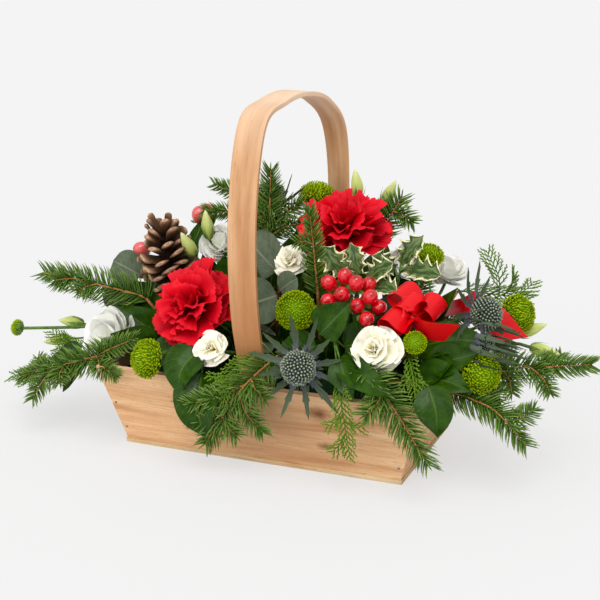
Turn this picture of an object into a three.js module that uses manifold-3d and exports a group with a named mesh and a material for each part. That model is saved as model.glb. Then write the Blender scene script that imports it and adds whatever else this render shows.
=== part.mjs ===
// A florist's wooden trug with a bent handle, filled with a winter arrangement of cut stems.
// Millimetres, +Z up. The trug stands on z = 0 with its length along X and its front towards -Y.
import * as THREE from "three";
import { mergeVertices } from "three/addons/utils/BufferGeometryUtils.js";
import Module from "manifold-3d";

const wasm = await Module();
wasm.setup();

// Trug: four boards that lean out on a thin base board
const BASE_LENGTH = 262;
const BASE_WIDTH = 142;
const BASE_THICKNESS = 4;
const BASE_LIP = 1;
const BOARD_HEIGHT = 73;
const BOARD_FLARE = 19.5;
const BOARD_THICKNESS = 8;

// Handle: one bent strip nailed inside the front and back boards
const HANDLE_WIDTH = 25;
const HANDLE_THICKNESS = 4.5;
const HANDLE_HEIGHT = 320;
const HANDLE_SPREAD = 103;
const HANDLE_FOOT = 8;
const HANDLE_SKEW = 13;
const HANDLE_TWIST = THREE.MathUtils.degToRad(25);
const NAIL_RADIUS = 0.9;
const NAIL_HEAD_RADIUS = 2.4;
const NAIL_HEAD_HEIGHT = 1;
const NAIL_LENGTH = 10;
const NAIL_HEIGHTS = { low: 22, high: 50 };

// Liner tray and the foam block that stands in it
const LINER_WALL = 1;
const LINER_HEIGHT = 62;
const LINER_ROOM = 2.5;
const FOAM_ROOM = 2.2;
const FOAM_END_ROOM = 6.4;
const FOAM_HEIGHT = 78;

// Cut stems
const STEM_DEPTH = 32;
const STEM_LEAN = 0.88;
const STEM_RADIUS = 2;
const WIRE_RADIUS = 1.2;
const TWIG_RADIUS = 1.5;
const STALK_RADIUS = 1;

// Flowers, cone, berries and ribbon
const CARNATION_DIAMETER = 77;
const SPRAY_DIAMETER = 31;
const WIDE_SPRAY_DIAMETER = 42;
const LISIANTHUS_DIAMETER = 42;
const BUD_LENGTH = 28;
const MUM_DIAMETER = 37;
const SMALL_MUM_DIAMETER = 30;
const YOUNG_MUM_DIAMETER = 21;
const MUM_BUD_DIAMETER = 17;
const THISTLE_DIAMETER = 27;
const SMALL_THISTLE_DIAMETER = 24;
const YOUNG_THISTLE_DIAMETER = 14;
const THISTLE_BRACT = 40;
const CONE_DIAMETER = 52;
const CONE_LENGTH = 66;
const BERRY_RADIUS = 6;
const RIBBON_WIDTH = 24;
const RIBBON_THICKNESS = 0.9;

// Foliage
const LEAF_THICKNESS = 1.3;
const NEEDLE_LENGTH = 13;
const NEEDLE_SPACING = 23;
const NEEDLE_TAPER = 0.55;
const NEEDLE_LEAN = 0.9;
const SIDE_NEEDLE = 0.85;
const SPRIG_LAP = 0.04;
const SIDE_BARE = 0.22;
const CYPRESS_REACH = 7;

// Gap that is left between a piece and its neighbour or its seat
const CLEARANCE = 0.3;
// Points that a cut or a join leaves closer together than this become one
const WELD = 0.05;

const FOAM_TOP = BASE_THICKNESS + CLEARANCE + LINER_WALL + CLEARANCE + FOAM_HEIGHT;
const SLOPE = BOARD_FLARE / BOARD_HEIGHT;
const SLANT = Math.hypot(1, SLOPE);
const BOARD_ACROSS = BOARD_THICKNESS * SLANT;
const LINER_INSIDE = BOARD_ACROSS + CLEARANCE + LINER_WALL;
const LEG_ROOM = CLEARANCE + SLANT * HANDLE_THICKNESS + LINER_ROOM;
const FOAM_LENGTH = BASE_LENGTH - 2 * (LINER_INSIDE + FOAM_END_ROOM);
const FOAM_WIDTH = BASE_WIDTH - 2 * (BOARD_ACROSS + LEG_ROOM + LINER_WALL + FOAM_ROOM);

const vec = (x, y, z) => new THREE.Vector3(x, y, z);
const TAU = 2 * Math.PI;
const UP = vec(0, 0, 1);
const FRONT = vec(0, -1, 0);

// Solids

// A closed solid from shared points and triangles, with its faces turned outwards.
function solidFrom(points, faces) {
  const build = (order) => new wasm.Manifold(
    new wasm.Mesh({ numProp: 3, vertProperties: points, triVerts: order }));
  const body = build(faces);
  return body.volume() > 0 ? body : build(faces.slice().reverse());
}

// A three.js geometry as a solid, its shared points merged and its empty triangles left out.
function solidOf(geometry) {
  const bare = new THREE.BufferGeometry();
  bare.setAttribute("position", geometry.getAttribute("position"));
  bare.setIndex(geometry.index);
  const merged = mergeVertices(bare);
  const order = merged.index.array;
  const faces = [];
  for (let i = 0; i < order.length; i += 3) {
    const [a, b, c] = [order[i], order[i + 1], order[i + 2]];
    if (a !== b && b !== c && c !== a) {
      faces.push(a, b, c);
    }
  }
  return solidFrom(merged.getAttribute("position").array, new Uint32Array(faces));
}

// A solid as a three.js geometry.
function geometryOf(body) {
  const mesh = body.getMesh();
  const geometry = new THREE.BufferGeometry();
  geometry.setAttribute("position", new THREE.BufferAttribute(mesh.vertProperties, 3));
  geometry.setIndex(new THREE.BufferAttribute(mesh.triVerts, 1));
  geometry.computeVertexNormals();
  return geometry;
}

const join = (bodies) => bodies.reduce((whole, body) => whole.add(body)).simplify(WELD);
const cut = (body, tools) => tools.reduce((rest, tool) => rest.subtract(tool), body).simplify(WELD);

// The same solid with every point pushed out along its normal.
function grown(body, by) {
  const geometry = geometryOf(body);
  const points = geometry.getAttribute("position");
  const normals = geometry.getAttribute("normal");
  const moved = new Float32Array(points.array.length);
  for (let i = 0; i < moved.length; i++) {
    moved[i] = points.array[i] + by * normals.array[i];
  }
  return solidFrom(moved, new Uint32Array(geometry.index.array));
}

// A closed skin through rings of points that all have the same count.
function loft(rings) {
  const sides = rings[0].length;
  const last = (rings.length - 1) * sides;
  const faces = [];
  for (let start = 0; start < last; start += sides) {
    for (let side = 0; side < sides; side++) {
      const a = start + side;
      const b = start + (side + 1) % sides;
      faces.push(a, b, b + sides, a, b + sides, a + sides);
    }
  }
  for (let side = 1; side + 1 < sides; side++) {
    faces.push(0, side + 1, side, last, last + side, last + side + 1);
  }
  const points = rings.flat().flatMap((point) => point.toArray());
  return solidFrom(new Float32Array(points), new Uint32Array(faces));
}

// A turned solid about +Z from [radius, height] pairs that start and end on the axis. Its lobes
// wave in and out, each ring a little on from the last.
function turned(profile, segments, { lobes = 0, wave = 0, twist = 0 } = {}) {
  const outline = profile.map(([radius, height]) => new THREE.Vector2(radius, height));
  const geometry = new THREE.LatheGeometry(outline, segments).rotateX(Math.PI / 2);
  const points = geometry.getAttribute("position");
  for (let i = 0; i < points.count; i++) {
    const angle = Math.atan2(points.getY(i), points.getX(i));
    const ring = i % profile.length;
    const swell = 1 + wave * Math.cos(lobes * angle + twist * ring);
    points.setXY(i, points.getX(i) * swell, points.getY(i) * swell);
  }
  return geometry;
}

// A turned geometry as a solid with its foot at a place and its axis along a direction.
function aimed(geometry, place, facing) {
  const turn = new THREE.Quaternion().setFromUnitVectors(UP, facing.clone().normalize());
  return solidOf(geometry.applyQuaternion(turn).translate(place.x, place.y, place.z));
}

// A round tube along a curve.
function tube(curve, radius, steps = 4, sides = radius < STEM_RADIUS ? 3 : 4) {
  const section = new THREE.Shape();
  section.absarc(0, 0, radius, 0, TAU);
  return solidOf(new THREE.ExtrudeGeometry(
    new THREE.Shape(section.getSpacedPoints(sides).slice(0, sides)),
    { steps, extrudePath: curve, bevelEnabled: false }));
}

// A flat strip along a curve. across(share) is its width direction there, and width(share) its width.
function strip(curve, across, width, thickness, steps) {
  const rings = [];
  for (let step = 0; step <= steps; step++) {
    const share = step / steps;
    const centre = curve.getPoint(share);
    const side = across(share).clone().normalize();
    const out = curve.getTangent(share).cross(side).normalize();
    const corner = (s, o) => centre.clone()
      .addScaledVector(side, s * width(share) / 2).addScaledVector(out, o * thickness / 2);
    rings.push([corner(-1, -1), corner(1, -1), corner(1, 1), corner(-1, 1)]);
  }
  return loft(rings);
}

// A thin blade along a curve, sharp at both edges. Each station gives its share of the way, its
// half width and how far its edges lean forward. A folded blade lifts its edges. A blade with a flat
// back has three corners instead of four.
function blade(curve, facing, stations, { thickness = LEAF_THICKNESS, fold = 0, flat = false } = {}) {
  return loft(stations.map(({ at, half, lean = 0 }) => {
    const centre = curve.getPointAt(at);
    const along = curve.getTangentAt(at);
    const side = along.clone().cross(facing).normalize();
    const out = side.clone().cross(along).normalize();
    const edge = (s) => centre.clone().addScaledVector(side, s * half)
      .addScaledVector(along, lean).addScaledVector(out, flat ? -thickness / 4 : fold * half);
    const face = (s) => centre.clone().addScaledVector(out, s * thickness / 2);
    return flat ? [edge(-1), face(1), edge(1)] : [edge(-1), face(1), edge(1), face(-1)];
  }));
}

// Trug

// Half the outside size at a height above the base board.
const flared = (half, height) => half + SLOPE * height;

// A four-cornered ring at a height above the base board.
function boardRing(height, x0, x1, y0, y1) {
  const z = BASE_THICKNESS + height;
  return [vec(x0, y0, z), vec(x1, y0, z), vec(x1, y1, z), vec(x0, y1, z)];
}

// A long board on the front (side -1) or back (side 1), its ends flush with the end boards.
function longBoard(side) {
  return loft([0, BOARD_HEIGHT].map((height) => {
    const x = flared(BASE_LENGTH / 2, height);
    const y = flared(BASE_WIDTH / 2, height);
    return boardRing(height, -x, x, side * y, side * (y - BOARD_ACROSS));
  }));
}

// An end board on the left (side -1) or right (side 1), between the long boards.
function endBoard(side) {
  return loft([0, BOARD_HEIGHT].map((height) => {
    const x = flared(BASE_LENGTH / 2, height);
    const y = flared(BASE_WIDTH / 2, height) - BOARD_ACROSS - CLEARANCE;
    return boardRing(height, side * x, side * (x - BOARD_ACROSS), -y, y);
  }));
}

function baseBoard() {
  return solidOf(new THREE.BoxGeometry(
    BASE_LENGTH + 2 * BASE_LIP, BASE_WIDTH + 2 * BASE_LIP, BASE_THICKNESS)
    .translate(0, 0, BASE_THICKNESS / 2));
}

// The middle of a handle leg at a height above the base board.
function legPoint(side, height) {
  const inside = flared(BASE_WIDTH / 2, height) - BOARD_ACROSS;
  const y = inside - CLEARANCE - SLANT * HANDLE_THICKNESS / 2;
  return vec(side > 0 ? HANDLE_SKEW : 0, side * y, BASE_THICKNESS + height);
}

// The bend between the rims, as shares of the spread and of the rise from the rim to the crown. The
// front shoulder is squarer than the back one.
const HANDLE_BEND = [
  [-0.98, 0.3], [-1, 0.635], [-0.815, 0.938], [-0.435, 0.996], [0, 1], [0.45, 0.946], [0.815, 0.805],
  [0.91, 0.47],
];
const HANDLE_TWIST_FROM = 0.55;
const HANDLE_STEPS = 26;

// The handle: a line up each leg, and a bend from rim to rim that shifts sideways and twists on its
// way down to the back.
function handle() {
  const [foot, rim] = [HANDLE_FOOT, BOARD_HEIGHT].map((height) => (side) => legPoint(side, height));
  const rise = HANDLE_HEIGHT - HANDLE_THICKNESS / 2 - rim(1).z;
  const bend = HANDLE_BEND.map(([out, up]) => vec(
    HANDLE_SKEW * (1 + out) / 2, HANDLE_SPREAD * out, rim(1).z + rise * up));
  const arch = new THREE.CatmullRomCurve3([rim(-1), ...bend, rim(1)], false, "catmullrom");
  const twist = (share) => {
    const late = Math.max(0, share - HANDLE_TWIST_FROM) / (1 - HANDLE_TWIST_FROM);
    return HANDLE_TWIST * Math.sin(Math.PI * late) ** 2;
  };
  const ring = (centre, along, turn) => {
    const out = along.clone().cross(vec(1, 0, 0).applyAxisAngle(along, turn)).normalize();
    const across = out.clone().cross(along).normalize();
    const corner = (s, o) => centre.clone()
      .addScaledVector(across, s * HANDLE_WIDTH / 2).addScaledVector(out, o * HANDLE_THICKNESS / 2);
    return [corner(-1, -1), corner(1, -1), corner(1, 1), corner(-1, 1)];
  };
  const leg = (side) => rim(side).sub(foot(side)).normalize().multiplyScalar(-side);
  const rings = [ring(foot(-1), leg(-1), 0), ring(rim(-1), leg(-1), 0)];
  for (let step = 1; step < HANDLE_STEPS; step++) {
    const share = step / HANDLE_STEPS;
    rings.push(ring(arch.getPointAt(share), arch.getTangentAt(share), twist(share)));
  }
  return loft([...rings, ring(rim(1), leg(1), 0), ring(foot(1), leg(1), 0)]);
}

// A nail with its head against the inside of a handle leg, or the hole that it needs.
function handleNail(side, height, spare = 0) {
  const outwards = vec(0, side, -SLOPE);
  const place = legPoint(side, height).addScaledVector(
    outwards.clone().normalize(), -HANDLE_THICKNESS / 2 - CLEARANCE);
  const shank = NAIL_RADIUS + spare;
  const profile = spare > 0
    ? [[0, 0], [shank, 0], [shank, NAIL_LENGTH + spare], [0, NAIL_LENGTH + spare]]
    : [[0, -NAIL_HEAD_HEIGHT], [NAIL_HEAD_RADIUS, -NAIL_HEAD_HEIGHT], [NAIL_HEAD_RADIUS, 0],
      [shank, 0], [shank, NAIL_LENGTH], [0, NAIL_LENGTH]];
  return aimed(turned(profile, 6), place, outwards);
}

// The liner's outside, or its inside when shrunk by the wall.
function linerBlock(shrink, floor, top) {
  return loft([floor, top].map((height) => {
    const x = flared(BASE_LENGTH / 2, height) - BOARD_ACROSS - CLEARANCE - shrink;
    const y = flared(BASE_WIDTH / 2, height) - BOARD_ACROSS - LEG_ROOM - shrink;
    return boardRing(height, -x, x, -y, y);
  }));
}

function liner() {
  const outside = linerBlock(0, CLEARANCE, LINER_HEIGHT);
  const inside = linerBlock(LINER_WALL, CLEARANCE + LINER_WALL, LINER_HEIGHT + LINER_WALL);
  return outside.subtract(inside);
}

// Arrangement. Its places are measured from the middle of the foam's top face.

// A stem's way: up out of the foam at [share of half length, share of half width], then on.
function stemCurve([u, v], ...points) {
  const top = vec(u * FOAM_LENGTH / 2, v * FOAM_WIDTH / 2, 0);
  const deep = vec(STEM_LEAN * top.x, STEM_LEAN * top.y, -STEM_DEPTH);
  return new THREE.CatmullRomCurve3([deep, top, ...points]);
}

const line = (...points) => new THREE.CatmullRomCurve3(points);

const facingOf = ({ facing }) => facing.clone().normalize();

// Where the neck of a head meets its stem.
const collarOf = (head) => head.place.clone().addScaledVector(facingOf(head), -head.neck);

// The way of a stem to its head: past the points between, or straight up behind the head.
function headStem(entry, head) {
  const collar = collarOf(head);
  const behind = collar.clone().addScaledVector(facingOf(head), -head.neck);
  return stemCurve(entry, ...head.via ?? [behind], collar);
}

// Heads that share one stem. The first ends the stem, and the others branch off it at its fork.
function flowerStem(entry, [first, ...others], radius = TWIG_RADIUS) {
  const way = headStem(entry, first);
  const fork = way.getPoint(first.fork ?? 0.6);
  const branches = others.flatMap((head) => [
    tube(line(fork, fork.clone().lerp(collarOf(head), 0.5), collarOf(head)), STALK_RADIUS, 2),
    aimed(head.form, head.place, head.facing),
    ...head.bracts ?? [],
  ]);
  return join([
    tube(way, radius), aimed(first.form, first.place, first.facing), ...first.bracts ?? [], ...branches,
  ]);
}

const scaled = (profile, size) => profile.map(([radius, height]) => [size * radius, size * height]);

// Carnation: a slim calyx that opens into tiers of frilled petals, for a head one unit across.
const CARNATION_PROFILE = [
  [0, -0.42], [0.09, -0.38], [0.13, -0.18], [0.34, -0.12], [0.5, 0.02], [0.43, 0.12], [0.4, 0.19],
  [0.29, 0.16], [0.24, 0.26], [0, 0.22],
];
const CARNATION_NECK = 0.39;
const CARNATION_FRILL = 0.06;

function carnation(entry, place, facing, diameter, frills) {
  const form = turned(scaled(CARNATION_PROFILE, diameter), 2 * frills,
    { lobes: frills, wave: CARNATION_FRILL, twist: Math.PI });
  return flowerStem(entry, [{ place, facing, form, neck: CARNATION_NECK * diameter }], STEM_RADIUS);
}

// Lisianthus: a cup of five wide petals, and spindle buds.
const LISIANTHUS_PROFILE = [
  [0, -0.42], [0.08, -0.38], [0.26, -0.18], [0.5, 0.28], [0.46, 0.3], [0.22, 0.04], [0, -0.04],
];
const LISIANTHUS_NECK = 0.38;
const LISIANTHUS_PETALS = 5;
const BUD_PROFILE = [[0, -0.5], [0.12, -0.42], [0.2, -0.12], [0.15, 0.2], [0.06, 0.44], [0, 0.5]];
const BUD_NECK = 0.45;

function cup(place, facing, diameter, more = {}) {
  const form = turned(scaled(LISIANTHUS_PROFILE, diameter), 2 * LISIANTHUS_PETALS,
    { lobes: LISIANTHUS_PETALS, wave: 0.08, twist: 0.35 });
  return { place, facing, form, neck: LISIANTHUS_NECK * diameter, ...more };
}

function bud(place, facing, length, more = {}) {
  const form = turned(scaled(BUD_PROFILE, length), 6);
  return { place, facing, form, neck: BUD_NECK * length, ...more };
}

// Button chrysanthemum: a tight dome of short petals.
const MUM_PROFILE = [
  [0, -0.26], [0.3, -0.22], [0.47, -0.06], [0.47, 0.12], [0.28, 0.3], [0, 0.35],
];
const MUM_NECK = 0.23;
const MUM_PETALS = 5;

function button(place, facing, diameter, more = {}) {
  const form = turned(scaled(MUM_PROFILE, diameter), 2 * MUM_PETALS,
    { lobes: MUM_PETALS, wave: 0.05, twist: Math.PI });
  return { place, facing, form, neck: MUM_NECK * diameter, ...more };
}

// Thistle: a cone of florets over a ring of spiny bracts.
const THISTLE_PROFILE = [[0, -0.3], [0.4, -0.24], [0.5, 0.06], [0.36, 0.46], [0, 0.68]];
const THISTLE_NECK = 0.24;
const THISTLE_BRACTS = 9;
const BRACT_STATIONS = [
  { at: 0, half: 1.6 }, { at: 0.44, half: 4.4 }, { at: 0.58, half: 2 }, { at: 1, half: 0.4 },
];

// The bracts stand round the foot of the head from one share of a turn to another. A turn starts at
// the side that is level with the head and goes over its top.
function thistle(place, facing, diameter, reach, { from = 0, to = 1, ...more } = {}) {
  const form = turned(scaled(THISTLE_PROFILE, diameter), THISTLE_BRACTS);
  const out = facing.clone().normalize();
  const side = out.clone().cross(UP).normalize();
  const rise = side.clone().cross(out);
  const root = place.clone().addScaledVector(out, -THISTLE_NECK * diameter / 2);
  const count = Math.round(THISTLE_BRACTS * (to - from));
  const bracts = Array.from({ length: count }, (_, i) => {
    const angle = TAU * (from + (to - from) * (i + 0.5) / count);
    const ray = side.clone().multiplyScalar(Math.cos(angle)).addScaledVector(rise, Math.sin(angle));
    const length = reach * (i % 2 === 0 ? 1 : 0.8);
    const tip = root.clone().addScaledVector(ray, length).addScaledVector(out, reach / 6);
    const bend = root.clone().addScaledVector(ray, length / 2).addScaledVector(out, -reach / 10);
    const path = line(root.clone().addScaledVector(ray, 0.4 * diameter), bend, tip);
    return blade(path, out, BRACT_STATIONS, { flat: true });
  });
  return { place, facing, form, neck: THISTLE_NECK * diameter, bracts, ...more };
}

// Pine cone: scales on a spiral round a core, the golden angle apart.
const CONE_SCALES = 24;
const GOLDEN_ANGLE = Math.PI * (3 - Math.sqrt(5));
const SCALE_STATIONS = [{ at: 0, half: 2.4 }, { at: 0.7, half: 6 }, { at: 1, half: 3.4 }];
const SCALE_THICKNESS = 3.4;
const CONE_CORE_PROFILE = [[0, -0.5], [0.16, -0.47], [0.24, -0.2], [0.18, 0.2], [0, 0.42]];

function pineCone(entry, place, facing) {
  const out = facing.clone().normalize();
  const side = out.clone().cross(FRONT).normalize();
  const rise = side.clone().cross(out);
  const foot = place.clone().addScaledVector(out, -0.45 * CONE_LENGTH);
  const scales = Array.from({ length: CONE_SCALES }, (_, i) => {
    const share = (i + 0.5) / CONE_SCALES;
    const angle = i * GOLDEN_ANGLE;
    const ray = side.clone().multiplyScalar(Math.cos(angle)).addScaledVector(rise, Math.sin(angle));
    const girth = Math.sin(Math.PI * (0.22 + 0.68 * share));
    const reach = CONE_DIAMETER / 2 * girth;
    const at = (radius, height) => place.clone()
      .addScaledVector(ray, radius).addScaledVector(out, (height - 0.5) * CONE_LENGTH);
    const low = 0.04 + 0.74 * share;
    const path = line(at(reach * 0.2, low), at(reach * 0.7, low + 0.08), at(reach, low + 0.18));
    const size = 0.55 + 0.45 * girth;
    const stations = SCALE_STATIONS.map(({ at: share, half }) => ({ at: share, half: half * size }));
    return blade(path, out, stations, { thickness: 2 * SCALE_THICKNESS * size, flat: true });
  });
  const core = aimed(turned(scaled(CONE_CORE_PROFILE, CONE_LENGTH), 6), place, facing);
  return join([tube(stemCurve(entry, foot), WIRE_RADIUS), core, ...scales]);
}

// Broad leaves: a smooth outline that is widest before the middle.
const LEAF_SHARES = [0.12, 0.3, 0.55, 0.8, 1];
const LEAF_TIP = 0.5;
const leafStations = (width, power = 0.75) => LEAF_SHARES.map((at) => ({
  at, half: LEAF_TIP + (width / 2 - LEAF_TIP) * Math.sin(Math.PI * at ** power) }));
const LEAF_FOLD = 0.25;
const ROUND_SHARES = [0.06, 0.3, 0.6, 0.92, 1];
const roundStations = (width) => ROUND_SHARES.map((at) => ({
  at, half: LEAF_TIP + (width / 2 - LEAF_TIP) * Math.sqrt(1 - (2 * at - 1) ** 2) }));

// Holly: spines stand out between the hollows of the edge.
const HOLLY_SPINES = 3;
const HOLLY_HOLLOW = 0.55;
const hollyStations = (width) => Array.from({ length: 2 * HOLLY_SPINES + 1 }, (_, i) => {
  const at = i / (2 * HOLLY_SPINES);
  const full = LEAF_TIP + (width / 2 - LEAF_TIP) * Math.sin(Math.PI * (0.1 + 0.9 * at));
  return { at, half: i % 2 === 0 ? HOLLY_HOLLOW * full : full, lean: 0 };
});

// A leaf from its root on a stem along a stalk to its base, and on to its tip.
function leaf(root, { base = root, tip, bend = vec(0, 0, 0), width, facing }, stations) {
  const middle = base.clone().lerp(tip, 0.5).add(bend);
  const path = base === root ? line(root, middle, tip) : line(root, base, middle, tip);
  const stalk = root.distanceTo(base) / path.getLength();
  const outline = stations(width).map(({ at, ...rest }) => ({ at: stalk + (1 - stalk) * at, ...rest }));
  return blade(path, facing, [{ at: 0, half: STALK_RADIUS }, ...outline], { fold: LEAF_FOLD });
}

// A stem with leaves, each from its share of the stem's way.
function leafStem(entry, way, leaves, stations) {
  const spine = stemCurve(entry, ...way);
  const blades = leaves.map((form) => leaf(spine.getPoint(form.from), form, stations));
  return join([tube(spine, TWIG_RADIUS), ...blades]);
}

// Berries on short stalks from the last stretch of a stem, with any leaves.
const SPRAY_SPAN = 0.14;

function berrySpray(entry, node, berries, leaves = []) {
  const spine = stemCurve(entry, node);
  const joint = (i) => spine.getPoint(1 - SPRAY_SPAN * (i + 1) / berries.length);
  const stalk = (place, i) => tube(line(joint(i), place), STALK_RADIUS, 1, 3);
  const berry = ({ x, y, z }) => solidOf(
    new THREE.OctahedronGeometry(BERRY_RADIUS, 1).translate(x, y, z));
  return join([
    tube(spine, TWIG_RADIUS),
    ...berries.flatMap((place, i) => [stalk(place, i), berry(place)]),
    ...leaves.map((form) => leaf(joint(0), form, leafStations)),
  ]);
}

// Edges of a needled twig from a share of its way to its tip: pairs of needles that lean forward,
// shorter to the tip.
function needleStations(pairs, reach, pitch, start) {
  const count = 2 * pairs;
  const foot = { at: 0, half: STALK_RADIUS };
  const needled = Array.from({ length: count + 1 }, (_, i) => {
    const share = i / count;
    const at = start + (1 - start) * share;
    const needle = { at, half: reach * (1 - NEEDLE_TAPER * share ** 2), lean: NEEDLE_LEAN * pitch };
    return i % 2 === 1 ? needle : { at, half: STALK_RADIUS };
  });
  return [foot, ...needled];
}

// A twig along a curve, bare at its foot, with a pair of needles at every spacing from there.
function needles(curve, facing, reach, spacing, start) {
  const length = curve.getLength() * (1 - start);
  const pairs = Math.max(2, Math.round(length / spacing));
  const stations = needleStations(pairs, reach, length / pairs / 2, start);
  return blade(curve, facing, stations, { thickness: 2 * TWIG_RADIUS, flat: true });
}

// A conifer sprig: a stem that is bare at its foot and needled to its tip, with needled side twigs
// from shares of its way to their tips.
function sprig(entry, way, twigs, facing, { reach = NEEDLE_LENGTH, spacing = NEEDLE_SPACING } = {}) {
  const foot = stemCurve(entry, way[0]);
  const spine = line(foot.getPoint(1 - SPRIG_LAP), ...way);
  const sides = twigs.map(([from, tip]) => {
    const root = spine.getPointAt(from);
    const ahead = root.clone().addScaledVector(spine.getTangentAt(from), root.distanceTo(tip) / 2);
    const middle = ahead.lerp(root.clone().lerp(tip, 0.5), 0.6);
    return needles(line(root, middle, tip), facing, reach * SIDE_NEEDLE, spacing, SIDE_BARE);
  });
  return join([tube(foot, TWIG_RADIUS), needles(spine, facing, reach, spacing, 0.05), ...sides]);
}

// Ribbon bow: loops and tails of one ribbon, drawn in at a knot, on a wire pick.
const BOW_KNOT_RADIUS = 7.5;
const BOW_PINCH = 0.2;
const BOW_BELLY = 0.32;
const LOOP_STEPS = 6;
const TAIL_STEPS = 5;

function ribbonLoop(knot, reach, across) {
  const side = reach.clone().cross(across).normalize();
  const at = (share, lift) => knot.clone()
    .addScaledVector(reach, share).addScaledVector(side, lift * BOW_BELLY * reach.length());
  const path = line(knot, at(0.4, 0.7), at(0.8, 1), at(1, 0), at(0.8, -1), at(0.4, -0.7), knot);
  const drawn = (share) => BOW_PINCH + (1 - BOW_PINCH) * Math.sin(Math.PI * share) ** 0.7;
  const width = (share) => RIBBON_WIDTH * drawn(share);
  return strip(path, () => across, width, RIBBON_THICKNESS, LOOP_STEPS);
}

function ribbonTail(knot, way, across) {
  const drawn = (share) => Math.min(1, BOW_PINCH + 2.5 * share);
  const width = (share) => RIBBON_WIDTH * drawn(share);
  return strip(line(knot, ...way), () => across, width, RIBBON_THICKNESS, TAIL_STEPS);
}

function ribbonBow(entry, knot, loops, tails) {
  const knotBody = new THREE.OctahedronGeometry(BOW_KNOT_RADIUS, 1).translate(knot.x, knot.y, knot.z);
  return join([
    tube(stemCurve(entry, knot), WIRE_RADIUS),
    solidOf(knotBody),
    ...loops.map(({ reach, across }) => ribbonLoop(knot, reach, across)),
    ...tails.map(({ way, across }) => ribbonTail(knot, way, across)),
  ]);
}

// Placing. What is placed first keeps its form, and what comes later is cut clear of it.
const RED = { color: 0xc40d14, roughness: 0.6, metalness: 0 };
const CREAM = { color: 0xf1eee0, roughness: 0.6, metalness: 0 };
const LIME = { color: 0x7fa51f, roughness: 0.7, metalness: 0 };
const BUD_GREEN = { color: 0xc3cf86, roughness: 0.6, metalness: 0 };
const BLUE_GREY = { color: 0x4d5a66, roughness: 0.7, metalness: 0 };
const BROWN = { color: 0x5d4030, roughness: 0.8, metalness: 0 };
const BERRY_RED = { color: 0xb8101a, roughness: 0.25, metalness: 0 };
const CORAL = { color: 0xd9575a, roughness: 0.3, metalness: 0 };
const RIBBON_RED = { color: 0xd01420, roughness: 0.35, metalness: 0 };
const HOLLY_GREEN = { color: 0x7c8f57, roughness: 0.4, metalness: 0 };
const GREY_GREEN = { color: 0x6f8577, roughness: 0.6, metalness: 0 };
const LEAF_GREEN = { color: 0x2c4a30, roughness: 0.4, metalness: 0 };
const FIR_GREEN = { color: 0x35543a, roughness: 0.6, metalness: 0 };
const CYPRESS_GREEN = { color: 0x4f7a35, roughness: 0.6, metalness: 0 };
const PINE = { color: 0xd0a070, roughness: 0.6, metalness: 0 };
const PLY = { color: 0xe0c8a4, roughness: 0.8, metalness: 0 };
const STEEL = { color: 0x8a8a88, roughness: 0.4, metalness: 1 };
const BLACK_PLASTIC = { color: 0x20221f, roughness: 0.5, metalness: 0 };
const FOAM_GREEN = { color: 0x2f5a3a, roughness: 0.9, metalness: 0 };

function addMesh(group, name, body, look) {
  const mesh = new THREE.Mesh(geometryOf(body), new THREE.MeshStandardMaterial(look));
  mesh.name = name;
  group.add(mesh);
}

const basket = new THREE.Group();

const nails = Object.entries(NAIL_HEIGHTS).flatMap(([level, height]) => [
  { name: `handle_nail_front_${level}`, side: -1, height },
  { name: `handle_nail_back_${level}`, side: 1, height },
]);
const nailHoles = (side) => nails.filter((nail) => nail.side === side)
  .map((nail) => handleNail(nail.side, nail.height, CLEARANCE));
const boards = {
  base_board: baseBoard(),
  front_board: cut(longBoard(-1), nailHoles(-1)),
  back_board: cut(longBoard(1), nailHoles(1)),
  left_end_board: endBoard(-1),
  right_end_board: endBoard(1),
};
const handleBody = cut(handle(), [...nailHoles(-1), ...nailHoles(1)]);
for (const [name, body] of Object.entries(boards)) {
  addMesh(basket, name, body, name === "base_board" ? PLY : PINE);
}
addMesh(basket, "handle", handleBody, PINE);
for (const { name, side, height } of nails) {
  addMesh(basket, name, handleNail(side, height), STEEL);
}
addMesh(basket, "liner", liner(), BLACK_PLASTIC);

const arrangement = new THREE.Group();
arrangement.position.z = FOAM_TOP;
basket.add(arrangement);

// What is taken up already, each with room left round it.
const lowered = (body) => solidOf(geometryOf(body).translate(0, 0, -FOAM_TOP));
const taken = [longBoard(-1), longBoard(1), endBoard(-1), endBoard(1), handle()]
  .map((body) => grown(lowered(body), CLEARANCE));
const stems = [];

function boxesMeet(a, b) {
  const [p, q] = [a.boundingBox(), b.boundingBox()];
  return [0, 1, 2].every((axis) => p.min[axis] < q.max[axis] && q.min[axis] < p.max[axis]);
}

// Cuts a piece clear of its neighbours and keeps the part that stands in the foam.
function plant(name, body, look) {
  const rest = cut(body, taken.filter((other) => boxesMeet(body, other)));
  const [kept] = rest.decompose().sort((a, b) => a.boundingBox().min[2] - b.boundingBox().min[2]);
  const room = kept.add(grown(kept, CLEARANCE));
  taken.push(room);
  stems.push(room);
  addMesh(arrangement, name, kept, look);
}

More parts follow.
